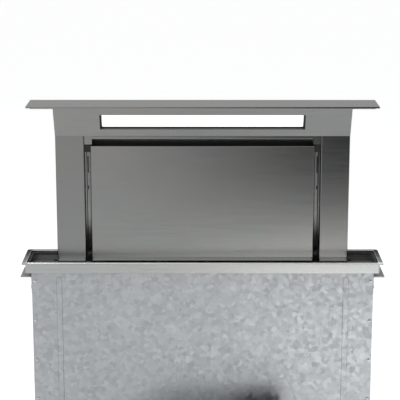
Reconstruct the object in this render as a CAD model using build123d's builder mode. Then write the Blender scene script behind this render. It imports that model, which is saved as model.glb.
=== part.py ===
"""Downdraft vent: a steel tower that rises out of the worktop behind the cooking zones, with a lamp
fascia, a tilting front panel over the grease filters, a lead screw lift and a centrifugal blower.

Frame: X to the right, -Y to the front (the cook), +Z up. The origin is the centre of the worktop
cut-out, on the worktop surface. The tower is drawn raised. All sizes are millimetres.
"""

import os
from math import cos, hypot, radians, sin

from build123d import *

# --- sheet and fits ---------------------------------------------------------------------------
sheet = 1.2  # stainless and galvanised sheet
bend_radius = 2.0  # outer radius of a fold
moving_gap = 0.4  # between bodies that slide or swing past each other
shaft_gap = 0.05  # radial clearance of a shaft in its bush
fold_gap = 0.2  # between a lip and the sheet that it slips behind

# --- cap plate --------------------------------------------------------------------------------
cap_width = 880
cap_depth = 108
cap_edge = 4
lift_travel = 400
flange_thickness = 2
cap_top = lift_travel + flange_thickness  # flush with the flange when lowered
cap_under = cap_top - cap_edge

# --- worktop frame and tray -------------------------------------------------------------------
tray_gap = 7  # round the lowered cap
tray_drop = 20  # tray floor below the worktop
flange_width = 12
lip_depth = 3  # of the rim below the worktop surface
gasket_height = 5
gasket_reach = 5.5  # from the tray wall towards the cap
tray_wall = 1.5
tray_radius = 5
tray_x = cap_width / 2 + tray_gap
tray_y = cap_depth / 2 + tray_gap
frame_drop = tray_drop + 4

# --- tower ------------------------------------------------------------------------------------
cap_overhang = 67.5  # of the cap past the body at each side
back_setback = 4  # of the body's back from the cap's edge
tower_overlap = 190  # of the raised tower, below the worktop
column_width = 72.5
channel_width = 17
fascia_height = 78
face_y = -9
body_width = cap_width - 2 * cap_overhang
body_x = body_width / 2
column_inner_x = body_x - column_width
panel_x = column_inner_x - channel_width
tower_back_y = cap_depth / 2 - back_setback
back_sheet_y = tower_back_y - 2 * sheet  # front face of the back sheet
tower_foot_z = -tower_overlap
fascia_foot_z = cap_under - fascia_height
fascia_top_y = -cap_depth / 2 + 2

# --- lamp in the fascia -----------------------------------------------------------------------
window_width = 515
window_height = 46
window_from_top = 22  # down the slope
window_corner = 2
lamp_recess = 8
lamp_gap = 5  # dark reveal round the diffuser at the sides
diffuser_thickness = 3
housing_depth = 16

# --- front panel ------------------------------------------------------------------------------
header_height = 9
header_setback = 3
slot_height = 17
panel_top_z = fascia_foot_z - header_height - slot_height
panel_foot_z = -7
panel_fold = 15
hinge_y = face_y + 9
hinge_z = panel_foot_z + 19
hinge_pin_radius = 4
return_y = face_y + panel_fold + 6  # rear edge of the columns' inner returns

# --- side channels ----------------------------------------------------------------------------
corner_width = 19
corner_height = 22
catch_height = 20
channel_plate_y = face_y + panel_fold
channel_plate_foot_z = 45

# --- grease filters ---------------------------------------------------------------------------
filter_front_y = face_y + panel_fold + 3
filter_depth = 11
filter_foot_z = hinge_z + 15
filter_top_z = panel_top_z - 6
filter_x = panel_x - 11
filter_gap = 4  # between the two filters
filter_rim = 12
baffle_pitch = 28
baffle_width = 19
baffle_depth = 5

# --- lift: screws and gearmotor ---------------------------------------------------------------
screw_radius = 7
screw_reach = 40.5  # of a screw's axis past the body
screw_x = body_x + screw_reach
nut_radius = screw_radius + 4
pad_reach = 19  # of a slide pad from the column to the rail web
pad_width = 19
pad_height = 34
bearing_thickness = 8
bearing_plate_thickness = 3
gearbox_height = 42
under_tower = 20  # free height below the lowered tower
rail_top_z = -tray_drop - 5
rail_foot_z = tower_foot_z - lift_travel - under_tower
bearing_plate_z = rail_foot_z - gearbox_height - 1  # upper face
upper_bearing_z = tower_foot_z + 48
screw_top_z = upper_bearing_z + bearing_thickness + 8
pulley_radius = 17
pulley_height = 16
pulley_rim = 1.8
pulley_top_z = bearing_plate_z - bearing_plate_thickness - 14
pulley_foot_z = pulley_top_z - pulley_height
belt_thickness = 1.5
belt_width = 10
drive_pulley_radius = 12

# --- casing under the worktop -----------------------------------------------------------------
casing_setback = 2  # behind the tray wall
casing_side_gap = 22  # from a screw's axis to the casing's side
casing_x = screw_x + casing_side_gap
casing_y = tray_y - casing_setback
casing_inner_x = casing_x - sheet
casing_inner_y = casing_y - sheet
casing_top_z = -tray_drop - sheet
casing_foot_z = pulley_foot_z - 29
casing_height = casing_top_z - casing_foot_z
casing_mid_z = (casing_top_z + casing_foot_z) / 2
foot_height = 10
drive_x = -screw_x + 163
drive_y = -casing_y + 27

# --- control box ------------------------------------------------------------------------------
box_width = 150
box_height = 180
box_depth = 48
box_wall = 2
box_x = -casing_x + 30 + box_width / 2
box_z = casing_foot_z + 215
gland_bore = 5

# --- blower -----------------------------------------------------------------------------------
impeller_radius = 86
blade_count = 30
blade_chord = 18
inlet_radius = impeller_radius - 6
scroll_depth = 130
impeller_width = scroll_depth - 30
seal_depth = 11
spiral_step = 16
spiral_start = impeller_radius + 11
tongue_angle = 50
half_step = spiral_step / 2
scroll_flange = 6
scroll_left_reach = half_step + spiral_start + 2 * spiral_step + scroll_flange
blower_x = box_x + box_width / 2 + 52 + scroll_left_reach
blower_z = casing_foot_z + 180
outlet_x = blower_x + half_step + spiral_start + 20
adapter_length = 60
collar_length = 80
collar_radius = 74.5
collar_wall = 1.5
collar_y = -casing_y - 1.5 - collar_radius

os.makedirs("parts", exist_ok=True)


def bent_sheet(points, thickness=sheet, side=Side.RIGHT, radius=bend_radius):
    """Section of a folded sheet: the points run along its outer face."""
    with BuildSketch() as section:
        with BuildLine():
            FilletPolyline(*points, radius=radius)
            offset(amount=thickness, side=side)
        make_face()
    return section.sketch


# ============================== worktop frame, gasket and tray ================================

with BuildPart() as worktop_frame:
    with BuildSketch(Plane.XY):
        RectangleRounded(2 * (tray_x + flange_width), 2 * (tray_y + flange_width), tray_radius + 3)
        RectangleRounded(2 * tray_x, 2 * tray_y, tray_radius, mode=Mode.SUBTRACT)
    extrude(amount=flange_thickness)
    with BuildSketch(Plane.XY):
        RectangleRounded(2 * (tray_x + 2 * tray_wall), 2 * (tray_y + 2 * tray_wall), tray_radius)
        RectangleRounded(2 * tray_x, 2 * tray_y, tray_radius, mode=Mode.SUBTRACT)
    extrude(amount=-lip_depth)
    with BuildSketch(Plane.XY.offset(-lip_depth)):
        RectangleRounded(2 * (tray_x + 2 * tray_wall), 2 * (tray_y + 2 * tray_wall), tray_radius)
        RectangleRounded(2 * (tray_x + tray_wall), 2 * (tray_y + tray_wall), tray_radius, mode=Mode.SUBTRACT)
    extrude(amount=lip_depth - frame_drop)
    chamfer(worktop_frame.faces().sort_by(Axis.Z)[-1].outer_wire().edges(), 0.6)
worktop_frame.part.label = "worktop_frame"
export_step(worktop_frame.part, "parts/worktop_frame.step")

gasket_foot_z = -lip_depth - gasket_height
gasket_x = tray_x - gasket_reach
gasket_y = tray_y - gasket_reach
with BuildPart() as frame_gasket:
    with BuildSketch(Plane.XY.offset(gasket_foot_z)):
        RectangleRounded(2 * (tray_x + tray_wall), 2 * (tray_y + tray_wall), tray_radius)
        RectangleRounded(2 * gasket_x, 2 * gasket_y, tray_radius, mode=Mode.SUBTRACT)
    extrude(amount=gasket_height)
frame_gasket.part.label = "frame_gasket"
export_step(frame_gasket.part, "parts/frame_gasket.step")

pan_hole_x = body_x + 3.5
pan_hole_front_y = -cap_depth / 2
pan_hole_back_y = tower_back_y + 3
notch_depth = 12
notch_width = 13
notch_y = tray_y - 10.5 - notch_width / 2
with BuildPart() as tray_pan:
    with BuildSketch(Plane.XY.offset(-tray_drop - sheet)):
        RectangleRounded(2 * (tray_x + tray_wall), 2 * (tray_y + tray_wall), tray_radius)
    extrude(amount=tray_drop + sheet + gasket_foot_z)
    with BuildSketch(Plane.XY.offset(-tray_drop)):
        RectangleRounded(2 * tray_x, 2 * tray_y, tray_radius)
    extrude(amount=tray_drop, mode=Mode.SUBTRACT)
    with BuildSketch(Plane.XY.offset(-tray_drop - sheet)):
        with Locations((0, (pan_hole_front_y + pan_hole_back_y) / 2)):
            Rectangle(2 * pan_hole_x, pan_hole_back_y - pan_hole_front_y)
        with Locations((0, notch_y)):
            Rectangle(2 * (pan_hole_x + notch_depth), notch_width)
    extrude(amount=sheet, mode=Mode.SUBTRACT)
tray_pan.part.label = "tray_pan"
export_step(tray_pan.part, "parts/tray_pan.step")

# ============================== casing ========================================================

seat_flange = 15
bead_width = 14
bead_depth = 1.5
front_bead_length = casing_top_z - 13.5 - (box_z + box_height / 2) - 28.4  # above the control box
front_bead_z = casing_top_z - 13.5 - front_bead_length / 2

with BuildPart() as casing_front:
    with BuildSketch(Plane.XZ.offset(casing_inner_y)):
        with Locations((0, casing_mid_z)):
            Rectangle(2 * casing_x, casing_height)
        with Locations((blower_x, blower_z)):
            Circle(inlet_radius, mode=Mode.SUBTRACT)
    extrude(amount=sheet)
    with BuildSketch(Plane.XZ.offset(casing_y)):
        for stiffening_x in (-casing_x + 70, casing_x - 70):
            with Locations((stiffening_x, front_bead_z)):
                SlotOverall(front_bead_length, bead_width, rotation=90)
    extrude(amount=bead_depth, taper=25)
    with BuildSketch(Plane.XZ.offset(casing_inner_y)):
        for stiffening_x in (-casing_x + 70, casing_x - 70):
            with Locations((stiffening_x, front_bead_z)):
                SlotOverall(front_bead_length - 2 * sheet, bead_width - 2 * sheet, rotation=90)
    extrude(amount=bead_depth, taper=25, mode=Mode.SUBTRACT)
casing_front.part.label = "casing_front"
export_step(casing_front.part, "parts/casing_front.step")

with BuildPart() as casing_back:
    with BuildSketch(Plane.XZ.offset(-casing_y)):
        with Locations((0, casing_mid_z)):
            Rectangle(2 * casing_x, casing_height)
    extrude(amount=sheet)
    with BuildSketch(Plane.XZ.offset(-casing_y)):
        with Locations((0, casing_mid_z)):
            with GridLocations(casing_x * 0.52, 1, 3, 1):
                SlotOverall(casing_height * 0.7, bead_width, rotation=90)
    extrude(amount=-bead_depth, taper=25)
    with BuildSketch(Plane.XZ.offset(-casing_inner_y)):
        with Locations((0, casing_mid_z)):
            with GridLocations(casing_x * 0.52, 1, 3, 1):
                SlotOverall(casing_height * 0.7 - 2 * sheet, bead_width - 2 * sheet, rotation=90)
    extrude(amount=-bead_depth, taper=25, mode=Mode.SUBTRACT)
casing_back.part.label = "casing_back"
export_step(casing_back.part, "parts/casing_back.step")

for side, sign in (("left", -1), ("right", 1)):
    with BuildPart() as casing_side:
        with BuildSketch(Plane.XY.offset(casing_foot_z)):
            add(
                bent_sheet(
                    [
                        (sign * (casing_x - seat_flange), casing_inner_y),
                        (sign * casing_x, casing_inner_y),
                        (sign * casing_x, -casing_inner_y),
                        (sign * (casing_x - seat_flange), -casing_inner_y),
                    ],
                    side=Side.RIGHT if sign > 0 else Side.LEFT,
                )
            )
        extrude(amount=casing_height)
    casing_side.part.label = f"casing_side_{side}"
    export_step(casing_side.part, f"parts/casing_side_{side}.step")

base_x = casing_inner_x - fold_gap
base_y = casing_inner_y - sheet - fold_gap
base_lip = 14
foot_x = casing_x - 38
foot_y = casing_y - 18
foot_radius = 14
stud_radius = 4
with BuildPart() as casing_base:
    with BuildSketch(Plane.XY.offset(casing_foot_z)):
        Rectangle(2 * base_x, 2 * base_y)
    extrude(amount=base_lip)
    chamfer(casing_base.edges().filter_by(Axis.Z), bend_radius)
    with BuildSketch(Plane.XY.offset(casing_foot_z + sheet)):
        Rectangle(2 * (base_x - sheet), 2 * (base_y - sheet))
    extrude(amount=base_lip, mode=Mode.SUBTRACT)
    with BuildSketch(Plane.XY.offset(casing_foot_z)):
        with GridLocations(2 * foot_x, 2 * foot_y, 2, 2):
            Circle(stud_radius)
    extrude(amount=sheet, mode=Mode.SUBTRACT)
casing_base.part.label = "casing_base"
export_step(casing_base.part, "parts/casing_base.step")

with BuildPart() as levelling_feet:
    with BuildSketch(Plane.XY.offset(casing_foot_z - foot_height)):
        with GridLocations(2 * foot_x, 2 * foot_y, 2, 2):
            Circle(foot_radius)
    extrude(amount=4)
    with BuildSketch(Plane.XY.offset(casing_foot_z - foot_height)):
        with GridLocations(2 * foot_x, 2 * foot_y, 2, 2):
            RegularPolygon(foot_radius - 5, 6)
    extrude(amount=foot_height)
    with BuildSketch(Plane.XY.offset(casing_foot_z)):
        with GridLocations(2 * foot_x, 2 * foot_y, 2, 2):
            Circle(stud_radius - 0.1)
    extrude(amount=9)
levelling_feet.part.label = "levelling_feet"
export_step(levelling_feet.part, "parts/levelling_feet.step")

# Angle brackets outside the casing: to the cabinet floor, and up to the worktop's underside.
bracket_length = 90
bracket_leg = 30
bracket_rise = 45
bracket_sheet = 2.5
bracket_hole_radius = 3
bracket_hole_pitch = 60
worktop_thickness = 38
bracket_hole_x = casing_x + 18

for name, plate_z, up in (
    ("floor_brackets", casing_foot_z - foot_height, 1),
    ("worktop_brackets", -worktop_thickness, -1),
):
    with BuildPart() as brackets:
        for sign in (-1, 1):
            with BuildSketch(Plane.XZ.offset(-bracket_length / 2)):
                add(
                    bent_sheet(
                        [
                            (sign * (casing_x + bracket_leg), plate_z),
                            (sign * casing_x, plate_z),
                            (sign * casing_x, plate_z + up * bracket_rise),
                        ],
                        thickness=bracket_sheet,
                        side=Side.LEFT if sign * up < 0 else Side.RIGHT,
                        radius=4,
                    )
                )
            extrude(amount=bracket_length)
        with BuildSketch(Plane.XY.offset(plate_z)):
            with GridLocations(2 * bracket_hole_x, bracket_hole_pitch, 2, 2):
                Circle(bracket_hole_radius)
        extrude(amount=bracket_sheet, both=True, mode=Mode.SUBTRACT)
    brackets.part.label = name
    export_step(brackets.part, f"parts/{name}.step")

# ============================== guide rails and lead screws ===================================

rail_web_x = body_x + pad_reach + moving_gap
rail_half = pad_width / 2 + moving_gap
rail_wall = 1.5
rail_lip = 13
for side, sign in (("left", -1), ("right", 1)):
    with BuildPart() as guide_rail:
        with BuildSketch(Plane.XY.offset(rail_foot_z)):
            with BuildLine():
                Polyline(
                    (sign * (rail_web_x - rail_lip), -rail_half - rail_wall),
                    (sign * (rail_web_x + rail_wall), -rail_half - rail_wall),
                    (sign * (rail_web_x + rail_wall), casing_inner_y - rail_wall),
                    (sign * (rail_web_x + 14), casing_inner_y - rail_wall),
                    (sign * (rail_web_x + 14), casing_inner_y),
                    (sign * rail_web_x, casing_inner_y),
                    (sign * rail_web_x, rail_half + rail_wall),
                    (sign * (rail_web_x - rail_lip), rail_half + rail_wall),
                    (sign * (rail_web_x - rail_lip), rail_half),
                    (sign * rail_web_x, rail_half),
                    (sign * rail_web_x, -rail_half),
                    (sign * (rail_web_x - rail_lip), -rail_half),
                    close=True,
                )
            make_face()
        extrude(amount=rail_top_z - rail_foot_z)
    guide_rail.part.label = f"guide_rail_{side}"
    export_step(guide_rail.part, f"parts/guide_rail_{side}.step")

pulley_flange = 1.5
for side, sign in (("left", -1), ("right", 1)):
    with BuildPart() as lead_screw:
        with BuildSketch(Plane.XY.offset(pulley_foot_z)):
            with Locations((sign * screw_x, 0)):
                Circle(screw_radius)
        extrude(amount=screw_top_z - pulley_foot_z)
        chamfer(lead_screw.faces().sort_by(Axis.Z)[-1].edges(), 1.5)
        with BuildSketch(Plane.XY.offset(pulley_foot_z)):
            with Locations((sign * screw_x, 0)):
                Circle(pulley_radius)
        extrude(amount=pulley_height)
        for flange_z in (pulley_foot_z, pulley_top_z - pulley_flange):
            with BuildSketch(Plane.XY.offset(flange_z)):
                with Locations((sign * screw_x, 0)):
                    Circle(pulley_radius + pulley_rim)
            extrude(amount=pulley_flange)
    lead_screw.part.label = f"lead_screw_{side}"
    export_step(lead_screw.part, f"parts/lead_screw_{side}.step")

# Upper bearings in a block on each side of the casing, and flanged bushes in the plate at the foot.
bearing_block = 2 * screw_radius + 12
bush_flange = 3
bush_radius = screw_radius + 4
with BuildPart() as screw_bearings:
    for sign in (-1, 1):
        with BuildSketch(Plane.XY.offset(upper_bearing_z)):
            with Locations((sign * screw_x, 0)):
                Circle(bearing_block / 2)
            with Locations((sign * (screw_x + casing_inner_x) / 2, 0)):
                Rectangle(casing_inner_x - screw_x, bearing_block)
            with Locations((sign * screw_x, 0)):
                Circle(screw_radius + shaft_gap, mode=Mode.SUBTRACT)
        extrude(amount=bearing_thickness)
        with BuildSketch(Plane.YZ.offset(sign * casing_inner_x)):
            with Locations((0, upper_bearing_z + bearing_thickness / 2)):
                Rectangle(bearing_block + 24, bearing_thickness + 12)
        extrude(amount=-sign * 2.5)
        for ring_radius, ring_length in ((screw_radius + 7, bush_flange), (bush_radius, -6)):
            with BuildSketch(Plane.XY.offset(bearing_plate_z)):
                with Locations((sign * screw_x, 0)):
                    Circle(ring_radius)
                    Circle(screw_radius + shaft_gap, mode=Mode.SUBTRACT)
            extrude(amount=ring_length)
screw_bearings.part.label = "screw_bearings"
export_step(screw_bearings.part, "parts/screw_bearings.step")

drive_shaft_radius = 4
hole_length = 90
hole_span = screw_x - 83 - (drive_x + 40)  # between the gearmotor and the right-hand screw
hole_count = int(hole_span // 120)
with BuildPart() as bearing_plate:
    plate_y = casing_inner_y - sheet - fold_gap
    with BuildSketch(Plane.XY.offset(bearing_plate_z - bearing_plate_thickness)) as plate_outline:
        Rectangle(2 * casing_inner_x, 2 * plate_y)
        chamfer(plate_outline.vertices(), bend_radius)
        with Locations((drive_x, drive_y)):
            Circle(drive_shaft_radius + 3, mode=Mode.SUBTRACT)
        for hole_sign in (-1, 1):
            with Locations((hole_sign * screw_x, 0)):
                Circle(bush_radius, mode=Mode.SUBTRACT)
        with Locations((drive_x + 40 + hole_span / 2, 0)):
            with GridLocations((hole_span - hole_length) / (hole_count - 1), 1, hole_count, 1):
                Rectangle(hole_length, plate_y, mode=Mode.SUBTRACT)
    extrude(amount=bearing_plate_thickness)
bearing_plate.part.label = "bearing_plate"
export_step(bearing_plate.part, "parts/bearing_plate.step")

# Gearmotor standing on the bearing plate, its output shaft down through the plate.
gearbox_length = 62
gearbox_width = 44
lift_motor_radius = 19
lift_motor_length = 78
with BuildPart() as lift_gearmotor:
    with BuildSketch(Plane.XY.offset(bearing_plate_z)) as gearbox_outline:
        with Locations((drive_x, drive_y + 8)):
            Rectangle(gearbox_length, gearbox_width)
        chamfer(gearbox_outline.vertices(), 6)
    extrude(amount=gearbox_height)
    chamfer(lift_gearmotor.faces().sort_by(Axis.Z)[-1].edges(), 2.5)
    for motor_radius_here, motor_end in (
        (lift_motor_radius, lift_motor_length),
        (7, lift_motor_length + 5),
    ):
        with BuildSketch(Plane.YZ.offset(drive_x + gearbox_length / 2)):
            with Locations((drive_y + 14, bearing_plate_z + 22)):
                Circle(motor_radius_here)
        extrude(amount=motor_end)
    with BuildSketch(Plane.XY.offset(bearing_plate_z)):
        with Locations((drive_x, drive_y)):
            Circle(drive_shaft_radius + shaft_gap)
    extrude(amount=20, mode=Mode.SUBTRACT)
lift_gearmotor.part.label = "lift_gearmotor"
export_step(lift_gearmotor.part, "parts/lift_gearmotor.step")

with BuildPart() as drive_pulley:
    with BuildSketch(Plane.XY.offset(pulley_foot_z)):
        with Locations((drive_x, drive_y)):
            Circle(drive_pulley_radius)
    extrude(amount=pulley_height)
    for flange_z in (pulley_foot_z, pulley_top_z - pulley_flange):
        with BuildSketch(Plane.XY.offset(flange_z)):
            with Locations((drive_x, drive_y)):
                Circle(drive_pulley_radius + pulley_rim)
        extrude(amount=pulley_flange)
    with BuildSketch(Plane.XY.offset(pulley_foot_z)):
        with Locations((drive_x, drive_y)):
            Circle(drive_shaft_radius)
    extrude(amount=bearing_plate_z + 18 - pulley_foot_z)
drive_pulley.part.label = "drive_pulley"
export_step(drive_pulley.part, "parts/drive_pulley.step")

belt_gap = 0.3
belt_z = (pulley_foot_z + pulley_top_z) / 2 - belt_width / 2
belt_stations = (
    (-screw_x, 0, pulley_radius),
    (screw_x, 0, pulley_radius),
    (drive_x, drive_y, drive_pulley_radius),
)
with BuildPart() as drive_belt:
    with BuildSketch(Plane.XY.offset(belt_z)):
        for station_x, station_y, station_radius in belt_stations:
            with Locations((station_x, station_y)):
                Circle(station_radius + belt_gap + belt_thickness)
        make_hull()
    extrude(amount=belt_width)
    with BuildSketch(Plane.XY.offset(belt_z)):
        for station_x, station_y, station_radius in belt_stations:
            with Locations((station_x, station_y)):
                Circle(station_radius + belt_gap)
        make_hull()
    extrude(amount=belt_width, mode=Mode.SUBTRACT)
drive_belt.part.label = "drive_belt"
export_step(drive_belt.part, "parts/drive_belt.step")

# ============================== tower columns and back ========================================

for side, sign in (("left", -1), ("right", 1)):
    with BuildPart() as column:
        with BuildSketch(Plane.XY.offset(tower_foot_z)):
            add(
                bent_sheet(
                    [
                        (sign * column_inner_x, return_y),
                        (sign * column_inner_x, face_y),
                        (sign * body_x, face_y),
                        (sign * body_x, tower_back_y),
                        (sign * (body_x - 32), tower_back_y),
                    ],
                    side=Side.LEFT if sign > 0 else Side.RIGHT,
                )
            )
        extrude(amount=fascia_foot_z - tower_foot_z)
    column.part.label = f"column_{side}"
    export_step(column.part, f"parts/column_{side}.step")

with BuildPart() as tower_back:
    with BuildSketch(Plane.XZ.offset(-(tower_back_y - sheet))):
        with Locations((0, (tower_foot_z + cap_under) / 2)):
            Rectangle(2 * (body_x - 4), cap_under - tower_foot_z)
    extrude(amount=sheet)
tower_back.part.label = "tower_back"
export_step(tower_back.part, "parts/tower_back.step")

# ============================== cap, fascia and lamp ==========================================

with BuildPart() as top_cap:
    with BuildSketch(Plane.XY.offset(cap_under)):
        RectangleRounded(cap_width, cap_depth, 1.5)
    extrude(amount=cap_edge)
    with BuildSketch(Plane.XY.offset(cap_under)):
        Rectangle(cap_width - 2 * sheet, cap_depth - 2 * sheet)
    extrude(amount=cap_edge - sheet, mode=Mode.SUBTRACT)
    fillet(top_cap.faces().sort_by(Axis.Z)[-1].edges(), 0.8)
top_cap.part.label = "top_cap"
export_step(top_cap.part, "parts/top_cap.step")

cap_skin_z = cap_top - sheet
stiffener_width = 44
stiffener_height = 9
with BuildPart() as cap_stiffeners:
    for sign in (-1, 1):
        with BuildSketch(Plane.YZ.offset(sign * (body_x + 2))):
            add(
                bent_sheet(
                    [
                        (-stiffener_width / 2 - 10, cap_skin_z),
                        (-stiffener_width / 2, cap_skin_z),
                        (-stiffener_width / 2, cap_skin_z - stiffener_height),
                        (stiffener_width / 2, cap_skin_z - stiffener_height),
                        (stiffener_width / 2, cap_skin_z),
                        (stiffener_width / 2 + 10, cap_skin_z),
                    ],
                    side=Side.RIGHT,
                    radius=1.3,
                )
            )
        extrude(amount=sign * (cap_width / 2 - sheet - body_x - 8))
cap_stiffeners.part.label = "cap_stiffeners"
export_step(cap_stiffeners.part, "parts/cap_stiffeners.step")

fascia_rise = cap_under - fascia_foot_z
fascia_lean = face_y - fascia_top_y
slope_length = hypot(fascia_rise, fascia_lean)
slope_up = Vector(0, -fascia_lean / slope_length, fascia_rise / slope_length)
slope_out = Vector(0, -fascia_rise / slope_length, -fascia_lean / slope_length)
window_centre = Vector(0, fascia_top_y, cap_under) - slope_up * (window_from_top + window_height / 2)
window_plane = Plane(origin=window_centre, x_dir=(1, 0, 0), z_dir=slope_out)


def slope_y(z, depth=0):
    """Y of the leaning front at height z, at a depth behind its outer face."""
    return face_y + (depth * slope_length - fascia_lean * (z - fascia_foot_z)) / fascia_rise


with BuildPart() as fascia:
    with BuildSketch(Plane.YZ.offset(-body_x)):
        with BuildLine():
            Polyline(
                (face_y, fascia_foot_z),
                (fascia_top_y, cap_under),
                (tower_back_y - sheet, cap_under),
                (tower_back_y - sheet, fascia_foot_z),
                close=True,
            )
        make_face()
    extrude(amount=body_width)
    with BuildSketch(Plane.YZ.offset(-body_x + sheet)):
        with BuildLine():
            Polyline(
                (face_y + 14, fascia_foot_z),
                (face_y + 14, fascia_foot_z + sheet),
                (slope_y(fascia_foot_z + sheet, sheet), fascia_foot_z + sheet),
                (slope_y(cap_under - sheet, sheet), cap_under - sheet),
                (fascia_top_y + 22, cap_under - sheet),
                (fascia_top_y + 22, cap_under),
                (tower_back_y, cap_under),
                (tower_back_y, fascia_foot_z),
                close=True,
            )
        make_face()
    extrude(amount=body_width - 2 * sheet, mode=Mode.SUBTRACT)
    with BuildSketch(window_plane):
        RectangleRounded(window_width, window_height, window_corner)
    extrude(amount=-5, mode=Mode.SUBTRACT)
fascia.part.label = "fascia"
export_step(fascia.part, "parts/fascia.step")

# Frame of the lamp: a flanged reveal behind the window, with a ledge that the diffuser sits in.
diffuser_width = window_width - 2 * lamp_gap
diffuser_height = window_height - 2 * lamp_gap + 5
reveal_plane = window_plane.offset(-sheet)
with BuildPart() as lamp_frame:
    with BuildSketch(reveal_plane):
        RectangleRounded(window_width + 16, window_height + 16, window_corner + 2)
        RectangleRounded(window_width - 1, window_height - 1, window_corner, mode=Mode.SUBTRACT)
    extrude(amount=-1.5)
    with BuildSketch(reveal_plane):
        RectangleRounded(window_width + 3, window_height + 3, window_corner + 1)
        RectangleRounded(window_width, window_height, window_corner, mode=Mode.SUBTRACT)
    extrude(amount=-(lamp_recess + diffuser_thickness - sheet))
    with BuildSketch(window_plane.offset(-lamp_recess - 1)):
        RectangleRounded(window_width + 1, window_height + 1, window_corner)
        RectangleRounded(diffuser_width + 0.4, diffuser_height + 0.4, 2.2, mode=Mode.SUBTRACT)
    extrude(amount=1 - diffuser_thickness)
lamp_frame.part.label = "lamp_frame"
export_step(lamp_frame.part, "parts/lamp_frame.step")

# The diffuser's back flange is clamped between the frame and the housing.
with BuildPart() as lamp_diffuser:
    with BuildSketch(window_plane.offset(-lamp_recess)):
        RectangleRounded(diffuser_width, diffuser_height, 2)
    extrude(amount=-diffuser_thickness)
    chamfer(lamp_diffuser.faces().sort_by(Axis(window_centre, slope_out))[-1].edges(), 0.6)
    with BuildSketch(window_plane.offset(-lamp_recess - diffuser_thickness)):
        RectangleRounded(window_width + 3, window_height + 3, 2)
    extrude(amount=-sheet)
lamp_diffuser.part.label = "lamp_diffuser"
export_step(lamp_diffuser.part, "parts/lamp_diffuser.step")

housing_front = lamp_recess + diffuser_thickness
with BuildPart() as lamp_housing:
    with BuildSketch(window_plane.offset(-housing_front - sheet)):
        RectangleRounded(window_width + 3, window_height + 3, 2)
    extrude(amount=-housing_depth)
    with BuildSketch(window_plane.offset(-housing_front - sheet)):
        RectangleRounded(window_width, window_height, 1)
    extrude(amount=-(housing_depth - 1.5), mode=Mode.SUBTRACT)
lamp_housing.part.label = "lamp_housing"
export_step(lamp_housing.part, "parts/lamp_housing.step")

board_depth = housing_front + sheet + housing_depth - 1.5
with BuildPart() as led_board:
    with BuildSketch(window_plane.offset(-board_depth)):
        Rectangle(window_width - 20, 22)
    extrude(amount=1.6)
    with BuildSketch(window_plane.offset(-board_depth + 1.6)):
        with GridLocations(window_width / 13, 1, 12, 1):
            Rectangle(5, 5)
    extrude(amount=1.2)
led_board.part.label = "led_board"
export_step(led_board.part, "parts/led_board.step")

# ============================== header, channels and catches ==================================

header_foot_z = fascia_foot_z - header_height
header_front_y = face_y + header_setback
corner_face_y = face_y + sheet + fold_gap
corner_mid_x = column_inner_x - sheet - corner_width / 2
with BuildPart() as header:
    with BuildSketch(Plane.YZ.offset(-column_inner_x + sheet)):
        add(
            bent_sheet(
                [
                    (header_front_y + 26, header_foot_z),
                    (header_front_y, header_foot_z),
                    (header_front_y, fascia_foot_z),
                    (header_front_y + 26, fascia_foot_z),
                ],
                side=Side.RIGHT,
                radius=1.6,
            )
        )
    extrude(amount=2 * (column_inner_x - sheet))
    with BuildSketch(Plane.XZ.offset(-corner_face_y - sheet)):
        for sign in (-1, 1):
            with Locations((sign * corner_mid_x, fascia_foot_z - corner_height / 2)):
                Rectangle(corner_width, corner_height)
    extrude(amount=sheet)
    with BuildSketch(Plane.XZ.offset(-header_front_y)):
        for sign in (-1, 1):
            with Locations((sign * corner_mid_x, fascia_foot_z - header_height / 2)):
                Rectangle(corner_width, header_height)
    extrude(amount=header_front_y - corner_face_y)
header.part.label = "header"
export_step(header.part, "parts/header.step")

catch_top_z = fascia_foot_z - corner_height
with BuildPart() as panel_catches:
    for sign in (-1, 1):
        with BuildSketch(Plane.XZ.offset(-face_y - 4)):
            with Locations((sign * (panel_x + channel_width / 2 + 0.2), catch_top_z - catch_height / 2)):
                RectangleRounded(channel_width - 0.6, catch_height, 1)
        extrude(amount=-(panel_fold - 3))
        with BuildSketch(Plane.XZ.offset(-face_y - panel_fold - 1)):
            with Locations((sign * (panel_x + 3), catch_top_z - catch_height / 2)):
                Rectangle(26, catch_height - 8)
        extrude(amount=-2)
panel_catches.part.label = "panel_catches"
export_step(panel_catches.part, "parts/panel_catches.step")

plate_top_z = catch_top_z - catch_height - 2
slit_top_z = plate_top_z - 10
slit_length = 44
for side, sign in (("left", -1), ("right", 1)):
    with BuildPart() as channel_plate:
        with BuildSketch(Plane.XY.offset(channel_plate_foot_z)):
            add(
                bent_sheet(
                    [
                        (sign * (column_inner_x - sheet), return_y),
                        (sign * (column_inner_x - 6), return_y),
                        (sign * (column_inner_x - 6), channel_plate_y),
                        (sign * (panel_x - 6), channel_plate_y + 2.6),
                    ],
                    side=Side.LEFT if sign > 0 else Side.RIGHT,
                    radius=1.6,
                )
            )
        extrude(amount=plate_top_z - channel_plate_foot_z)
        with BuildSketch(Plane.XZ.offset(-channel_plate_y + 4)):
            with Locations((sign * (column_inner_x - 9), slit_top_z - slit_length / 2)):
                SlotOverall(slit_length, 2.5, rotation=90)
            with Locations((sign * (column_inner_x - 9), slit_top_z - 82)):
                SlotOverall(10, 2.5, rotation=90)
        extrude(amount=-10, mode=Mode.SUBTRACT)
    channel_plate.part.label = f"channel_plate_{side}"
    export_step(channel_plate.part, f"parts/channel_plate_{side}.step")

# ============================== grease filters ================================================

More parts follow.
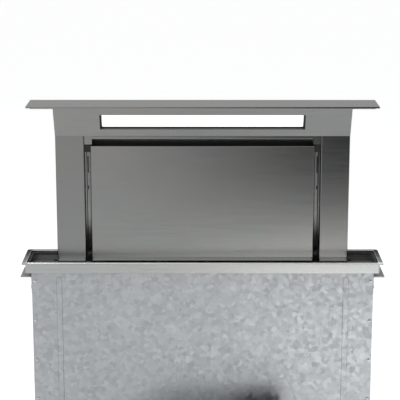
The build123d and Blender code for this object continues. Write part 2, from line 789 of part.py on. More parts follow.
filter_back_y = filter_front_y + filter_depth
filter_height = filter_top_z - filter_foot_z
filter_width = filter_x - filter_gap / 2
ledge = 8
with BuildPart() as filter_frame:
    with BuildSketch(Plane.XZ.offset(-filter_back_y)):
        with Locations((0, (filter_top_z + filter_foot_z) / 2)):
            Rectangle(2 * (column_inner_x - sheet), filter_height + 24)
        for sign in (-1, 1):
            with Locations((sign * (filter_width + filter_gap) / 2, (filter_top_z + filter_foot_z) / 2)):
                Rectangle(filter_width - 2 * ledge, filter_height - 2 * ledge, mode=Mode.SUBTRACT)
    extrude(amount=-1.5)
    with BuildSketch(Plane.XZ.offset(-filter_front_y - 3)):
        for rail_z in (filter_top_z + 1.6, filter_foot_z - 1.6):
            with Locations((0, rail_z)):
                Rectangle(2 * filter_x, 2)
    extrude(amount=-(filter_depth - 3))
    with BuildSketch(Plane.XZ.offset(-filter_back_y)):
        for sign in (-1, 1):
            with Locations((sign * (column_inner_x - sheet - 0.75), (filter_top_z + filter_foot_z) / 2)):
                Rectangle(1.5, filter_height + 24)
    extrude(amount=-(back_sheet_y - filter_back_y))
filter_frame.part.label = "filter_frame"
export_step(filter_frame.part, "parts/filter_frame.step")

inner_width = filter_width - 2 * filter_rim
inner_height = filter_height - 2 * filter_rim
baffle_count = int(inner_width // baffle_pitch)
slat_wall = 0.8
handle_width = 70
with BuildSketch() as slat:
    Rectangle(baffle_width, baffle_depth, align=(Align.CENTER, Align.MIN))
    with Locations((0, slat_wall)):
        Rectangle(
            baffle_width - 2 * slat_wall, baffle_depth, align=(Align.CENTER, Align.MIN), mode=Mode.SUBTRACT
        )
for side, sign in (("left", -1), ("right", 1)):
    filter_mid_x = sign * (filter_width + filter_gap) / 2
    filter_mid_z = (filter_top_z + filter_foot_z) / 2
    with BuildPart() as grease_filter:
        with BuildSketch(Plane.XZ.offset(-filter_front_y)):
            with Locations((filter_mid_x, filter_mid_z)):
                RectangleRounded(filter_width, filter_height, 3)
                Rectangle(inner_width, inner_height, mode=Mode.SUBTRACT)
        extrude(amount=-(filter_depth - 0.2))
        # Two banks of U-shaped slats, the front bank open to the back, the back bank to the front.
        for bank_y, fold, shift in ((filter_front_y + 1, 1, 0), (filter_back_y - 1.2, -1, 0.5)):
            with BuildSketch(Plane.XY.offset(filter_foot_z + filter_rim - 1)):
                with Locations((filter_mid_x, bank_y)):
                    with GridLocations(baffle_pitch, 1, baffle_count - int(2 * shift), 1):
                        add(slat.sketch, rotation=90 - 90 * fold)
            extrude(amount=inner_height + 2)
        # Pull handle riveted to the lower rim.
        with BuildSketch(Plane.XZ.offset(-filter_front_y)):
            with Locations((filter_mid_x, filter_foot_z + filter_rim / 2)):
                SlotOverall(handle_width, 9)
        extrude(amount=1.5)
        with BuildSketch(Plane.XY.offset(filter_foot_z + 3)):
            with Locations((filter_mid_x, filter_front_y - 1.5)):
                Trapezoid(handle_width - 20, 1.4, 45, align=(Align.CENTER, Align.MAX))
        extrude(amount=3)
    grease_filter.part.label = f"grease_filter_{side}"
    export_step(grease_filter.part, f"parts/grease_filter_{side}.step")

# ============================== front panel and its hinge =====================================

with BuildPart() as front_panel:
    with BuildSketch(Plane.XZ.offset(-face_y)):
        with Locations((0, (panel_top_z + panel_foot_z) / 2)):
            Rectangle(2 * panel_x, panel_top_z - panel_foot_z)
    extrude(amount=-panel_fold)
    fillet(front_panel.faces().sort_by(Axis.Y)[0].edges(), bend_radius)
    fillet(front_panel.edges().filter_by(Axis.Y), 1)
    with BuildSketch(Plane.XZ.offset(-face_y - sheet)):
        with Locations((0, (panel_top_z + panel_foot_z) / 2)):
            Rectangle(2 * (panel_x - sheet), panel_top_z - panel_foot_z - 2 * sheet)
    extrude(amount=-panel_fold, mode=Mode.SUBTRACT)
front_panel.part.label = "front_panel"
export_step(front_panel.part, "parts/front_panel.step")

with BuildPart() as panel_stiffener:
    for rib_z in (panel_foot_z + 80, panel_top_z - 80):
        with BuildSketch(Plane.YZ.offset(-panel_x + 30)):
            add(
                bent_sheet(
                    [
                        (face_y + sheet, rib_z - 26),
                        (face_y + sheet, rib_z - 15),
                        (face_y + sheet + 9, rib_z - 15),
                        (face_y + sheet + 9, rib_z + 15),
                        (face_y + sheet, rib_z + 15),
                        (face_y + sheet, rib_z + 26),
                    ],
                    side=Side.RIGHT,
                    radius=1.6,
                )
            )
        extrude(amount=2 * (panel_x - 30))
panel_stiffener.part.label = "panel_stiffener"
export_step(panel_stiffener.part, "parts/panel_stiffener.step")

ear_x = panel_x + 5
ear_thickness = 3
with BuildPart() as panel_hinge_pins:
    for sign in (-1, 1):
        with BuildSketch(Plane.YZ.offset(sign * panel_x)):
            with Locations((hinge_y, hinge_z)):
                Circle(hinge_pin_radius + 2)
        extrude(amount=sign * 2)
        with BuildSketch(Plane.YZ.offset(sign * panel_x)):
            with Locations((hinge_y, hinge_z)):
                Circle(hinge_pin_radius)
        extrude(amount=sign * (ear_x + ear_thickness + 4 - panel_x))
panel_hinge_pins.part.label = "panel_hinge_pins"
export_step(panel_hinge_pins.part, "parts/panel_hinge_pins.step")

with BuildPart() as hinge_ears:
    for sign in (-1, 1):
        with BuildSketch(Plane.YZ.offset(sign * ear_x)):
            with BuildLine():
                Polyline(
                    (hinge_y, hinge_z + 7.5),
                    (hinge_y, hinge_z - 7.5),
                    (return_y - 1, hinge_z - 7.5),
                    (return_y - 1, hinge_z + 7.5),
                    close=True,
                )
            make_face()
            with Locations((hinge_y, hinge_z)):
                Circle(7.5)
                Circle(hinge_pin_radius + shaft_gap, mode=Mode.SUBTRACT)
        extrude(amount=sign * ear_thickness)
        with BuildSketch(Plane.XZ.offset(-return_y + 3)):
            with Locations((sign * (ear_x + column_inner_x) / 2, hinge_z)):
                Rectangle(column_inner_x - ear_x, 15)
        extrude(amount=-2)
hinge_ears.part.label = "hinge_ears"
export_step(hinge_ears.part, "parts/hinge_ears.step")

# ============================== sill, carriage and slide pads =================================

sill_z = -12
sill_front_y = pan_hole_front_y + 4
with BuildPart() as sill:
    with BuildSketch(Plane.YZ.offset(-body_x)):
        add(
            bent_sheet(
                [
                    (face_y, sill_z - 14),
                    (face_y, sill_z),
                    (sill_front_y, sill_z),
                    (sill_front_y, sill_z - 8),
                ],
                side=Side.LEFT,
            )
        )
    extrude(amount=body_width)
sill.part.label = "sill"
export_step(sill.part, "parts/sill.step")

# The carriage closes the foot of the tower's back and reaches out to a lift nut at each side.
nut_z = tower_foot_z + 8
nut_height = 24
arm_thickness = 5
arm_outer_x = screw_x + 16
arm_front_y = -casing_inner_y + 11.8
rail_front_y = -rail_half - rail_wall
with BuildPart() as carriage_beam:
    with BuildSketch(Plane.YZ.offset(-body_x + sheet + 2)):
        add(
            bent_sheet(
                [
                    (back_sheet_y, tower_foot_z + 40),
                    (back_sheet_y, tower_foot_z),
                    (back_sheet_y - 28, tower_foot_z),
                    (back_sheet_y - 28, tower_foot_z + 18),
                ],
                thickness=2,
                side=Side.RIGHT,
                radius=3,
            )
        )
    extrude(amount=2 * (body_x - sheet - 2))
carriage_beam.part.label = "carriage_beam"
export_step(carriage_beam.part, "parts/carriage_beam.step")

with BuildPart() as lift_arms:
    for sign in (-1, 1):
        with BuildSketch(Plane.XY.offset(nut_z)):
            with BuildLine():
                Polyline(
                    (sign * body_x, arm_front_y),
                    (sign * arm_outer_x, arm_front_y),
                    (sign * arm_outer_x, 16),
                    (sign * (rail_web_x + rail_wall + 1.5), 16),
                    (sign * (rail_web_x + rail_wall + 1.5), rail_front_y - 1.5),
                    (sign * body_x, rail_front_y - 1.5),
                    close=True,
                )
            make_face()
            with Locations((sign * screw_x, 0)):
                Circle(nut_radius, mode=Mode.SUBTRACT)
        extrude(amount=arm_thickness)
        with BuildSketch(Plane.YZ.offset(sign * body_x)):
            with Locations(((arm_front_y + rail_front_y) / 2 - 0.75, nut_z + 20)):
                Rectangle(rail_front_y - arm_front_y - 1.5, 40)
        extrude(amount=sign * 4)
        with BuildSketch(Plane.XZ.offset(-arm_front_y)):
            with BuildLine():
                Polyline(
                    (sign * (body_x + 4), nut_z + arm_thickness),
                    (sign * (body_x + 24), nut_z + arm_thickness),
                    (sign * (body_x + 4), nut_z + 36),
                    close=True,
                )
            make_face()
        extrude(amount=-4)
lift_arms.part.label = "lift_arms"
export_step(lift_arms.part, "parts/lift_arms.step")

with BuildPart() as lift_nuts:
    for sign in (-1, 1):
        with BuildSketch(Plane.XY.offset(nut_z - (nut_height - arm_thickness) / 2)):
            with Locations((sign * screw_x, 0)):
                Circle(nut_radius)
                Circle(screw_radius + shaft_gap, mode=Mode.SUBTRACT)
        extrude(amount=nut_height)
        with BuildSketch(Plane.XY.offset(nut_z + arm_thickness)):
            with Locations((sign * screw_x, 0)):
                Circle(nut_radius + 4)
                Circle(screw_radius + shaft_gap, mode=Mode.SUBTRACT)
        extrude(amount=3)
lift_nuts.part.label = "lift_nuts"
export_step(lift_nuts.part, "parts/lift_nuts.step")

with BuildPart() as slide_pads:
    for pad_z in (tower_foot_z + 60, rail_top_z - 16 - pad_height):
        for sign in (-1, 1):
            with BuildSketch(Plane.YZ.offset(sign * body_x)):
                with Locations((0, pad_z + pad_height / 2)):
                    RectangleRounded(pad_width, pad_height, 3)
            extrude(amount=sign * pad_reach)
slide_pads.part.label = "slide_pads"
export_step(slide_pads.part, "parts/slide_pads.step")

# ============================== blower ========================================================

scroll_back_y = -casing_y - seal_depth
scroll_front_y = scroll_back_y - scroll_depth
scroll_mid_y = (scroll_back_y + scroll_front_y) / 2

with BuildPart() as inlet_seal:
    with BuildSketch(Plane.XZ.offset(casing_y)):
        with Locations((blower_x, blower_z)):
            Circle(inlet_radius + 12)
            Circle(inlet_radius + 2, mode=Mode.SUBTRACT)
    extrude(amount=seal_depth)
inlet_seal.part.label = "inlet_seal"
export_step(inlet_seal.part, "parts/inlet_seal.step")

# Angle of each rubber bush round the shaft, and how far past the wheel it stands.
bush_places = ((136.5, 48), (233.5, 36), (308.5, 26), (56.5, 58))
with BuildPart() as blower_bushes:
    with BuildSketch(Plane.XZ.offset(casing_y)):
        for bush_angle, bush_reach in bush_places:
            bush_arm = Vector(impeller_radius + bush_reach, 0).rotate(Axis.Z, bush_angle)
            with Locations((blower_x + bush_arm.X, blower_z + bush_arm.Y)):
                Circle(9)
                Circle(3, mode=Mode.SUBTRACT)
    extrude(amount=seal_depth)
blower_bushes.part.label = "blower_bushes"
export_step(blower_bushes.part, "parts/blower_bushes.step")

# The spiral is four quarter arcs whose centres stand on a small square round the shaft.
tongue = (
    blower_x + half_step + spiral_start * cos(radians(tongue_angle)),
    blower_z - half_step + spiral_start * sin(radians(tongue_angle)),
)
spiral_right = (blower_x + half_step + spiral_start, blower_z - half_step)
spiral_foot = (blower_x - half_step, blower_z - half_step - (spiral_start + spiral_step))
spiral_left = (blower_x - half_step - (spiral_start + 2 * spiral_step), blower_z + half_step)
spiral_top = (blower_x + half_step, blower_z + half_step + spiral_start + 3 * spiral_step)


def quarter(start, end, centre):
    """Quarter arc from start to end about the centre."""
    radius = hypot(start[0] - centre[0], start[1] - centre[1])
    middle_x = (start[0] + end[0]) / 2 - centre[0]
    middle_y = (start[1] + end[1]) / 2 - centre[1]
    scale = radius / hypot(middle_x, middle_y)
    return ThreePointArc(start, (centre[0] + middle_x * scale, centre[1] + middle_y * scale), end)


with BuildSketch() as scroll_outline:
    with BuildLine():
        Line((outlet_x, tongue[1]), tongue)
        quarter(tongue, spiral_right, (blower_x + half_step, blower_z - half_step))
        quarter(spiral_right, spiral_foot, (blower_x - half_step, blower_z - half_step))
        quarter(spiral_foot, spiral_left, (blower_x - half_step, blower_z + half_step))
        quarter(spiral_left, spiral_top, (blower_x + half_step, blower_z + half_step))
        Line(spiral_top, (outlet_x, spiral_top[1]))
        Line((outlet_x, spiral_top[1]), (outlet_x, tongue[1]))
    make_face()

with BuildSketch() as scroll_inside:
    offset(scroll_outline.sketch, amount=-sheet)
    with Locations((outlet_x, (spiral_top[1] + tongue[1]) / 2)):
        Rectangle(8 * sheet, spiral_top[1] - tongue[1] - 2 * sheet)

with BuildSketch() as scroll_plate:
    offset(scroll_outline.sketch, amount=scroll_flange)
    with Locations((outlet_x + 20, (spiral_top[1] + tongue[1]) / 2)):
        Rectangle(40, 3 * spiral_top[1] - 3 * tongue[1], mode=Mode.SUBTRACT)

motor_hole_radius = 62
with BuildPart() as scroll_housing:
    with BuildSketch(Plane.XZ.offset(-scroll_back_y)):
        add(scroll_outline.sketch)
    extrude(amount=scroll_depth)
    for plate_y in (scroll_back_y, scroll_front_y + sheet):
        with BuildSketch(Plane.XZ.offset(-plate_y)):
            add(scroll_plate.sketch)
        extrude(amount=sheet)
    with BuildSketch(Plane.XZ.offset(-scroll_back_y + sheet)):
        add(scroll_inside.sketch)
    extrude(amount=scroll_depth - 2 * sheet, mode=Mode.SUBTRACT)
    with BuildSketch(Plane.XZ.offset(-scroll_back_y)):
        with Locations((blower_x, blower_z)):
            Circle(inlet_radius)
    extrude(amount=sheet, mode=Mode.SUBTRACT)
    with BuildSketch(Plane.XZ.offset(-scroll_front_y - sheet)):
        with Locations((blower_x, blower_z)):
            Circle(motor_hole_radius)
    extrude(amount=sheet, mode=Mode.SUBTRACT)
scroll_housing.part.label = "scroll_housing"
export_step(scroll_housing.part, "parts/scroll_housing.step")

# Forward-curved wheel: a back disc and hub on the motor side, arc blades, and a front ring.
wheel_back_y = scroll_front_y + 14
wheel_front_y = wheel_back_y + impeller_width
motor_shaft_radius = 4
blade_inner = impeller_radius - blade_chord
blade_wall = 1.0
with BuildSketch() as blade:
    with BuildLine():
        ThreePointArc((blade_inner, 0), (blade_inner + 8, 2.6), (impeller_radius - 0.4, 11))
        Line((impeller_radius - 0.4, 11), (impeller_radius - 1.1, 11 + blade_wall))
        ThreePointArc(
            (impeller_radius - 1.1, 11 + blade_wall),
            (blade_inner + 7.6, 3.6),
            (blade_inner, blade_wall),
        )
        Line((blade_inner, blade_wall), (blade_inner, 0))
    make_face()

with BuildPart() as impeller:
    with BuildSketch(Plane.XZ.offset(-wheel_back_y)):
        with Locations((blower_x, blower_z)):
            Circle(impeller_radius)
            Circle(motor_shaft_radius, mode=Mode.SUBTRACT)
    extrude(amount=-1.5)
    with BuildSketch(Plane.XZ.offset(-wheel_back_y)):
        with Locations((blower_x, blower_z)):
            with PolarLocations(0, blade_count):
                add(blade.sketch)
    extrude(amount=-impeller_width)
    with BuildSketch(Plane.XZ.offset(-wheel_front_y)):
        with Locations((blower_x, blower_z)):
            Circle(impeller_radius)
            Circle(blade_inner - 1, mode=Mode.SUBTRACT)
    extrude(amount=-1.5)
    with BuildSketch(Plane.XZ.offset(-wheel_back_y)):
        with Locations((blower_x, blower_z)):
            Circle(17)
            Circle(motor_shaft_radius, mode=Mode.SUBTRACT)
    extrude(amount=-34)
impeller.part.label = "impeller"
export_step(impeller.part, "parts/impeller.step")

motor_length = 62
motor_radius = 48
motor_plate_thickness = 2
motor_face_y = scroll_front_y - motor_plate_thickness
with BuildPart() as motor_shaft:
    with BuildSketch(Plane.XZ.offset(-motor_face_y + motor_length - 8)):
        with Locations((blower_x, blower_z)):
            Circle(motor_shaft_radius)
    extrude(amount=-(motor_length - 8 + motor_plate_thickness + 14 + 40))
motor_shaft.part.label = "motor_shaft"
export_step(motor_shaft.part, "parts/motor_shaft.step")

with BuildPart() as motor_plate:
    with BuildSketch(Plane.XZ.offset(-scroll_front_y)):
        with Locations((blower_x, blower_z)):
            Circle(motor_hole_radius + 14)
            Circle(14, mode=Mode.SUBTRACT)
            with PolarLocations(58, 4, start_angle=45):
                Circle(2.6, mode=Mode.SUBTRACT)
    extrude(amount=motor_plate_thickness)
motor_plate.part.label = "motor_plate"
export_step(motor_plate.part, "parts/motor_plate.step")

with BuildPart() as blower_motor:
    with BuildSketch(Plane.XY.offset(blower_z)):
        with BuildLine():
            Polyline(
                (blower_x + motor_shaft_radius + shaft_gap, motor_face_y),
                (blower_x + motor_radius, motor_face_y),
                (blower_x + motor_radius, motor_face_y - 20),
                (blower_x + motor_radius - 4, motor_face_y - 20),
                (blower_x + motor_radius - 4, motor_face_y - 50),
                (blower_x + motor_radius - 16, motor_face_y - motor_length),
                (blower_x + motor_shaft_radius + shaft_gap, motor_face_y - motor_length),
                close=True,
            )
        make_face()
    revolve(axis=Axis((blower_x, 0, blower_z), (0, 1, 0)))
    with BuildSketch(Plane.XZ.offset(-motor_face_y + motor_length)):
        with Locations((blower_x, blower_z)):
            Circle(16)
    extrude(amount=4)
    with BuildSketch(Plane.XZ.offset(-motor_face_y + motor_length - 4)):
        with Locations((blower_x, blower_z)):
            with PolarLocations(24, 8):
                Rectangle(8, 4)
    extrude(amount=4, mode=Mode.SUBTRACT)
blower_motor.part.label = "blower_motor"
export_step(blower_motor.part, "parts/blower_motor.step")

# The adapter goes from the scroll's rectangular mouth to the round collar as folded ducting does:
# four flat sides, and between them each corner is bent round to the circle in six facets.
mouth_height = spiral_top[1] - tongue[1]
mouth_z = (spiral_top[1] + tongue[1]) / 2
collar_x = outlet_x + adapter_length
collar_z = round(mouth_z)
corner_facets = 6


def square_to_round(wall):
    """Solid from the mouth to the collar, a wall's thickness inside their outlines."""
    radius = collar_radius - wall
    bend = radians(90 / corner_facets)
    ring = [
        Vector(collar_x, collar_y + radius * cos(bend * step), collar_z + radius * sin(bend * step))
        for step in range(4 * corner_facets)
    ]
    half_y = scroll_depth / 2 - wall
    half_z = mouth_height / 2 - wall
    corners = [
        Vector(outlet_x, scroll_mid_y + side_y * half_y, mouth_z + side_z * half_z)
        for side_y, side_z in ((1, 1), (-1, 1), (-1, -1), (1, -1))
    ]
    outlines = [corners, ring]
    for side, corner in enumerate(corners):
        first = side * corner_facets
        outlines.append((corners[side - 1], corner, ring[first]))
        for step in range(first, first + corner_facets):
            outlines.append((corner, ring[step], ring[(step + 1) % len(ring)]))
    return Solid(Shell([Face(Wire.make_polygon(outline)) for outline in outlines]))


with BuildPart() as outlet_adapter:
    add(square_to_round(0))
    add(square_to_round(collar_wall), mode=Mode.SUBTRACT)
    with BuildSketch(Plane.YZ.offset(outlet_x)):
        with Locations((scroll_mid_y, mouth_z)):
            Rectangle(scroll_depth + 12, mouth_height + 12)
            Rectangle(scroll_depth - collar_wall, mouth_height - collar_wall, mode=Mode.SUBTRACT)
    extrude(amount=1.5)
outlet_adapter.part.label = "outlet_adapter"
export_step(outlet_adapter.part, "parts/outlet_adapter.step")

post_radius = 2
flap_axis_x = collar_x + 6
with BuildPart() as outlet_collar:
    with BuildSketch(Plane.YZ.offset(collar_x)):
        with Locations((collar_y, collar_z)):
            Circle(collar_radius)
            Circle(collar_radius - collar_wall, mode=Mode.SUBTRACT)
    extrude(amount=collar_length)
    with BuildSketch(Plane.XY.offset(collar_z - collar_radius + 0.5)):
        with Locations((flap_axis_x, collar_y)):
            Circle(post_radius)
    extrude(amount=2 * collar_radius - 1)
outlet_collar.part.label = "outlet_collar"
export_step(outlet_collar.part, "parts/outlet_collar.step")

# Non-return flaps: half discs on one upright post, with interleaved barrels.
flap_radius = collar_radius - collar_wall - 1
flap_thickness = 1.6
barrel_radius = 4
barrel_length = 26
for name, sign, barrels in (("flap_front", -1, (-50, 12)), ("flap_back", 1, (-20, 42))):
    with BuildPart() as flap:
        with BuildSketch(Plane.YZ.offset(flap_axis_x - flap_thickness / 2)):
            with Locations((collar_y, collar_z)):
                Circle(flap_radius)
            with Locations((collar_y - sign * flap_radius, collar_z)):
                Rectangle(2 * (flap_radius + barrel_radius + 1), 3 * flap_radius, mode=Mode.SUBTRACT)
            for barrel_z in barrels:
                with Locations((collar_y + sign * (barrel_radius + 2) / 2, collar_z + barrel_z)):
                    Rectangle(barrel_radius + 2, barrel_length)
        extrude(amount=flap_thickness)
        for barrel_z in barrels:
            with BuildSketch(Plane.XY.offset(collar_z + barrel_z - barrel_length / 2)):
                with Locations((flap_axis_x, collar_y)):
                    Circle(barrel_radius)
            extrude(amount=barrel_length)
            with BuildSketch(Plane.XY.offset(collar_z + barrel_z - barrel_length / 2)):
                with Locations((flap_axis_x, collar_y)):
                    Circle(post_radius + shaft_gap)
            extrude(amount=barrel_length, mode=Mode.SUBTRACT)
    flap.part.label = name
    export_step(flap.part, f"parts/{name}.step")

# ============================== control box ===================================================

with BuildPart() as control_box:
    with BuildSketch(Plane.XZ.offset(casing_y)):
        with Locations((box_x, box_z)):
            RectangleRounded(box_width, box_height, 4)
    extrude(amount=box_depth)
    with BuildSketch(Plane.XZ.offset(casing_y + box_wall)):
        with Locations((box_x, box_z)):
            RectangleRounded(box_width - 2 * box_wall, box_height - 2 * box_wall, 3)
    extrude(amount=box_depth, mode=Mode.SUBTRACT)
    with BuildSketch(Plane.XY.offset(box_z - box_height / 2)):
        with Locations((box_x - 40, -casing_y - box_depth / 2)):
            Circle(10)
    extrude(amount=box_wall, mode=Mode.SUBTRACT)
control_box.part.label = "control_box"
export_step(control_box.part, "parts/control_box.step")

with BuildPart() as control_lid:
    with BuildSketch(Plane.XZ.offset(casing_y + box_depth)):
        with Locations((box_x, box_z)):
            RectangleRounded(box_width + 2, box_height + 2, 5)
    extrude(amount=3)
    chamfer(control_lid.faces().sort_by(Axis.Y)[0].edges(), 1.2)
    with BuildSketch(Plane.XZ.offset(casing_y + box_depth)):
        with Locations((box_x, box_z)):
            with GridLocations(box_width - 14, box_height - 14, 2, 2):
                Circle(2)
    extrude(amount=3, mode=Mode.SUBTRACT)
control_lid.part.label = "control_lid"
export_step(control_lid.part, "parts/control_lid.step")

gland_z = box_z - box_height / 2
with BuildPart() as cable_gland:
    with BuildSketch(Plane.XY.offset(gland_z + box_wall)):
        with Locations((box_x - 40, -casing_y - box_depth / 2)):
            Circle(10)
    extrude(amount=-box_wall - 4)
    with BuildSketch(Plane.XY.offset(gland_z)):
        with Locations((box_x - 40, -casing_y - box_depth / 2)):
            RegularPolygon(14, 6)
    extrude(amount=-6)
    with BuildSketch(Plane.XY.offset(gland_z - 6)):
        with Locations((box_x - 40, -casing_y - box_depth / 2)):
            Circle(10)
    extrude(amount=-14)
    with BuildSketch(Plane.XY.offset(gland_z + box_wall)):
        with Locations((box_x - 40, -casing_y - box_depth / 2)):
            Circle(gland_bore)
    extrude(amount=-(box_wall + 20), mode=Mode.SUBTRACT)
cable_gland.part.label = "cable_gland"
export_step(cable_gland.part, "parts/cable_gland.step")
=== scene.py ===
"""Looks of the downdraft vent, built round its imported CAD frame. Metres, the CAD's own axes: X to the
right, -Y to the front, +Z up, the origin in the worktop cut-out's centre, on the worktop surface.
"""

from math import cos, pi, radians, sin, tau

import bmesh
import bpy
from mathutils import Matrix, Vector


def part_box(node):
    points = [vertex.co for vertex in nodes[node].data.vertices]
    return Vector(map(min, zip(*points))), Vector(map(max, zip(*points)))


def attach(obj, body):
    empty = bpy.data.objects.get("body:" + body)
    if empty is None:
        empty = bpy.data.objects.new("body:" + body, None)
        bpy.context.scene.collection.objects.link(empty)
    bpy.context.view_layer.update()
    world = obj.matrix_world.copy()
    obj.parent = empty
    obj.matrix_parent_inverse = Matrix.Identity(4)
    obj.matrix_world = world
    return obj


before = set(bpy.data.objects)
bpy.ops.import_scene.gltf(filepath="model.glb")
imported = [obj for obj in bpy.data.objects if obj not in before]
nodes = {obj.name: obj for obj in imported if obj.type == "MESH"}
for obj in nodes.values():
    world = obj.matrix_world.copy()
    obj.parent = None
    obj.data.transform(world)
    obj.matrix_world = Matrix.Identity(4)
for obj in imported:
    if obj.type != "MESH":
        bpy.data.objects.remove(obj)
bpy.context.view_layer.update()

# ---- camera ----------------------------------------------------------------------------------
# At the photograph's place: straight in front, 3.6 m away and 0.6 m above the raised cap. It looks
# down and a hair to the left, so nothing needs the lens to be shifted.
picture_width, focal_length = 400, 1448  # pixels
look_down, look_left = 0.2313, 0.0018  # radians
camera_data = bpy.data.cameras.new("camera")
camera_data.sensor_width = 36
camera_data.lens = focal_length / picture_width * camera_data.sensor_width
camera_data.clip_end = 60
camera = bpy.data.objects.new("camera", camera_data)
camera.location = (0, -3.6, 1.0)
camera.rotation_euler = (pi / 2 - look_down, 0, look_left)
bpy.context.scene.collection.objects.link(camera)
bpy.context.scene.camera = camera

# ---- floor, backdrop and light ---------------------------------------------------------------
# A pale studio floor that the casing stands on. The camera and reflections see it as plain white
# far off, while near the object it keeps the object's shadow.
floor_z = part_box("levelling_feet")[0].z
floor_radius = 30
floor_glow = 0.62
room_light = 0.4
scene = bpy.context.scene
scene.view_settings.view_transform = "Standard"


def principled(name, colour, metallic=0.0, roughness=0.5, **sockets):
    """Node material with one Principled shader, whose fixed values are set on its own sockets."""
    made = bpy.data.materials.new(name)
    made.use_nodes = True
    shader = made.node_tree.nodes["Principled BSDF"]
    shader.inputs["Base Color"].default_value = (*colour, 1)
    shader.inputs["Metallic"].default_value = metallic
    shader.inputs["Roughness"].default_value = roughness
    for socket, value in sockets.items():
        shader.inputs[socket.replace("_", " ")].default_value = value
    return made


def feed(material, **sources):
    """Link sockets to the inputs of a material's Principled shader that they are named for."""
    tree = material.node_tree
    for name, source in sources.items():
        tree.links.new(source, tree.nodes["Principled BSDF"].inputs[name.replace("_", " ")])


def add(tree, kind, values=None, **settings):
    """Shader node of a kind. Each input is set to its value, or linked where the value is a socket."""
    made = tree.nodes.new(kind if kind.startswith("NodeGroup") else "ShaderNode" + kind)
    for name, value in settings.items():
        setattr(made, name, value)
    for key, value in (values or {}).items():
        if isinstance(value, bpy.types.NodeSocket):
            tree.links.new(value, made.inputs[key])
        else:
            made.inputs[key].default_value = value
    return made


def combine(tree, operation, first, second):
    """Outcome of a sum on two numbers or sockets."""
    return add(tree, "Math", {0: first, 1: second}, operation=operation).outputs[0]


def seen_white(tree):
    """1 for the rays that the background shows itself to: the camera's, in gloss and through glass."""
    path = add(tree, "LightPath").outputs
    either = combine(tree, "MAXIMUM", path["Is Camera Ray"], path["Is Glossy Ray"])
    return combine(tree, "MAXIMUM", either, path["Is Transmission Ray"])


floor_paint = principled("studio_floor", (0.8, 0.8, 0.8), roughness=0.9, Emission_Color=(1, 1, 1, 1))
tree = floor_paint.node_tree
feed(floor_paint, Emission_Strength=combine(tree, "MULTIPLY", seen_white(tree), floor_glow))

floor_bm = bmesh.new()
bmesh.ops.create_circle(floor_bm, cap_ends=True, segments=64, radius=floor_radius)
bmesh.ops.translate(floor_bm, verts=floor_bm.verts, vec=(0, 0, floor_z))
floor_mesh = bpy.data.meshes.new("studio_floor")
floor_bm.to_mesh(floor_mesh)
floor_bm.free()
floor = bpy.data.objects.new("studio_floor", floor_mesh)
floor.data.materials.append(floor_paint)
scene.collection.objects.link(floor)

world = bpy.data.worlds.new("studio")
scene.world = world
world.use_nodes = True
tree = world.node_tree
room = tree.nodes["Background"]
room.inputs["Color"].default_value = (0.98, 0.99, 1, 1)
room.inputs["Strength"].default_value = room_light
white_room = add(tree, "Background", {"Color": (1, 1, 1, 1), "Strength": 1.0})
either = add(tree, "MixShader", {0: seen_white(tree), 1: room.outputs[0], 2: white_room.outputs[0]})
tree.links.new(either.outputs[0], tree.nodes["World Output"].inputs["Surface"])

black_gauze, white_gauze = (0.004, 0.004, 0.004), (0.8, 0.8, 0.8)
even = (-3.2, -3.1)  # a fade that lies outside every card


def gloss_card(name, colour, glow, middle, size, fade_x, fade_z, lying=False, one_sided=False):
    """Card of gauze that only gloss sees, from its front or top. It thins out along its two sides."""
    cloth = principled(name, colour, roughness=1.0, Emission_Color=(1, 1, 1, 1), Emission_Strength=glow)
    tree = cloth.node_tree
    place = add(tree, "SeparateXYZ", {"Vector": add(tree, "TexCoord").outputs["Object"]})
    weave = []
    for axis, (thin, full) in (("X", fade_x), ("Y" if lying else "Z", fade_z)):
        reach = {"Value": place.outputs[axis], "From Min": thin, "From Max": full}
        weave.append(add(tree, "MapRange", reach, interpolation_type="SMOOTHSTEP").outputs[0])
    cover = combine(tree, "MULTIPLY", *weave)
    if one_sided:
        above = combine(tree, "SUBTRACT", 1.0, add(tree, "NewGeometry").outputs["Backfacing"])
        cover = combine(tree, "MULTIPLY", cover, above)
    feed(cloth, Alpha=cover)
    bm = bmesh.new()
    bmesh.ops.create_grid(bm, x_segments=1, y_segments=1, size=0.5)
    bmesh.ops.scale(bm, verts=bm.verts, vec=(size[0], size[1], 1))
    if not lying:
        bmesh.ops.rotate(bm, verts=bm.verts, matrix=Matrix.Rotation(pi / 2, 3, "X"))
    bmesh.ops.translate(bm, verts=bm.verts, vec=middle)
    mesh = bpy.data.meshes.new(name)
    bm.to_mesh(mesh)
    bm.free()
    card = bpy.data.objects.new(name, mesh)
    card.data.materials.append(cloth)
    card.visible_camera = card.visible_diffuse = card.visible_shadow = card.visible_transmission = False
    scene.collection.objects.link(card)


# A black flag high on the right draws the soft dark reflection down the raised tower's right half,
# and a white one low on the right brightens its foot. A grey one behind tones down the cap's top.
gloss_card("black_flag", black_gauze, 0.0, (0.75, -1.0, 0.15), (2.4, 0.9), (-0.46, 0.56), (-0.29, 0.06))
gloss_card("white_flag", white_gauze, 2.1, (0.5, -1.02, -0.5), (1.6, 0.7), (-0.25, 0.45), (-0.18, -0.3))
gloss_card("grey_flag", black_gauze, 0.56, (0, 1.3, 0.95), (6, 1.5), even, (0.2, 0.3))

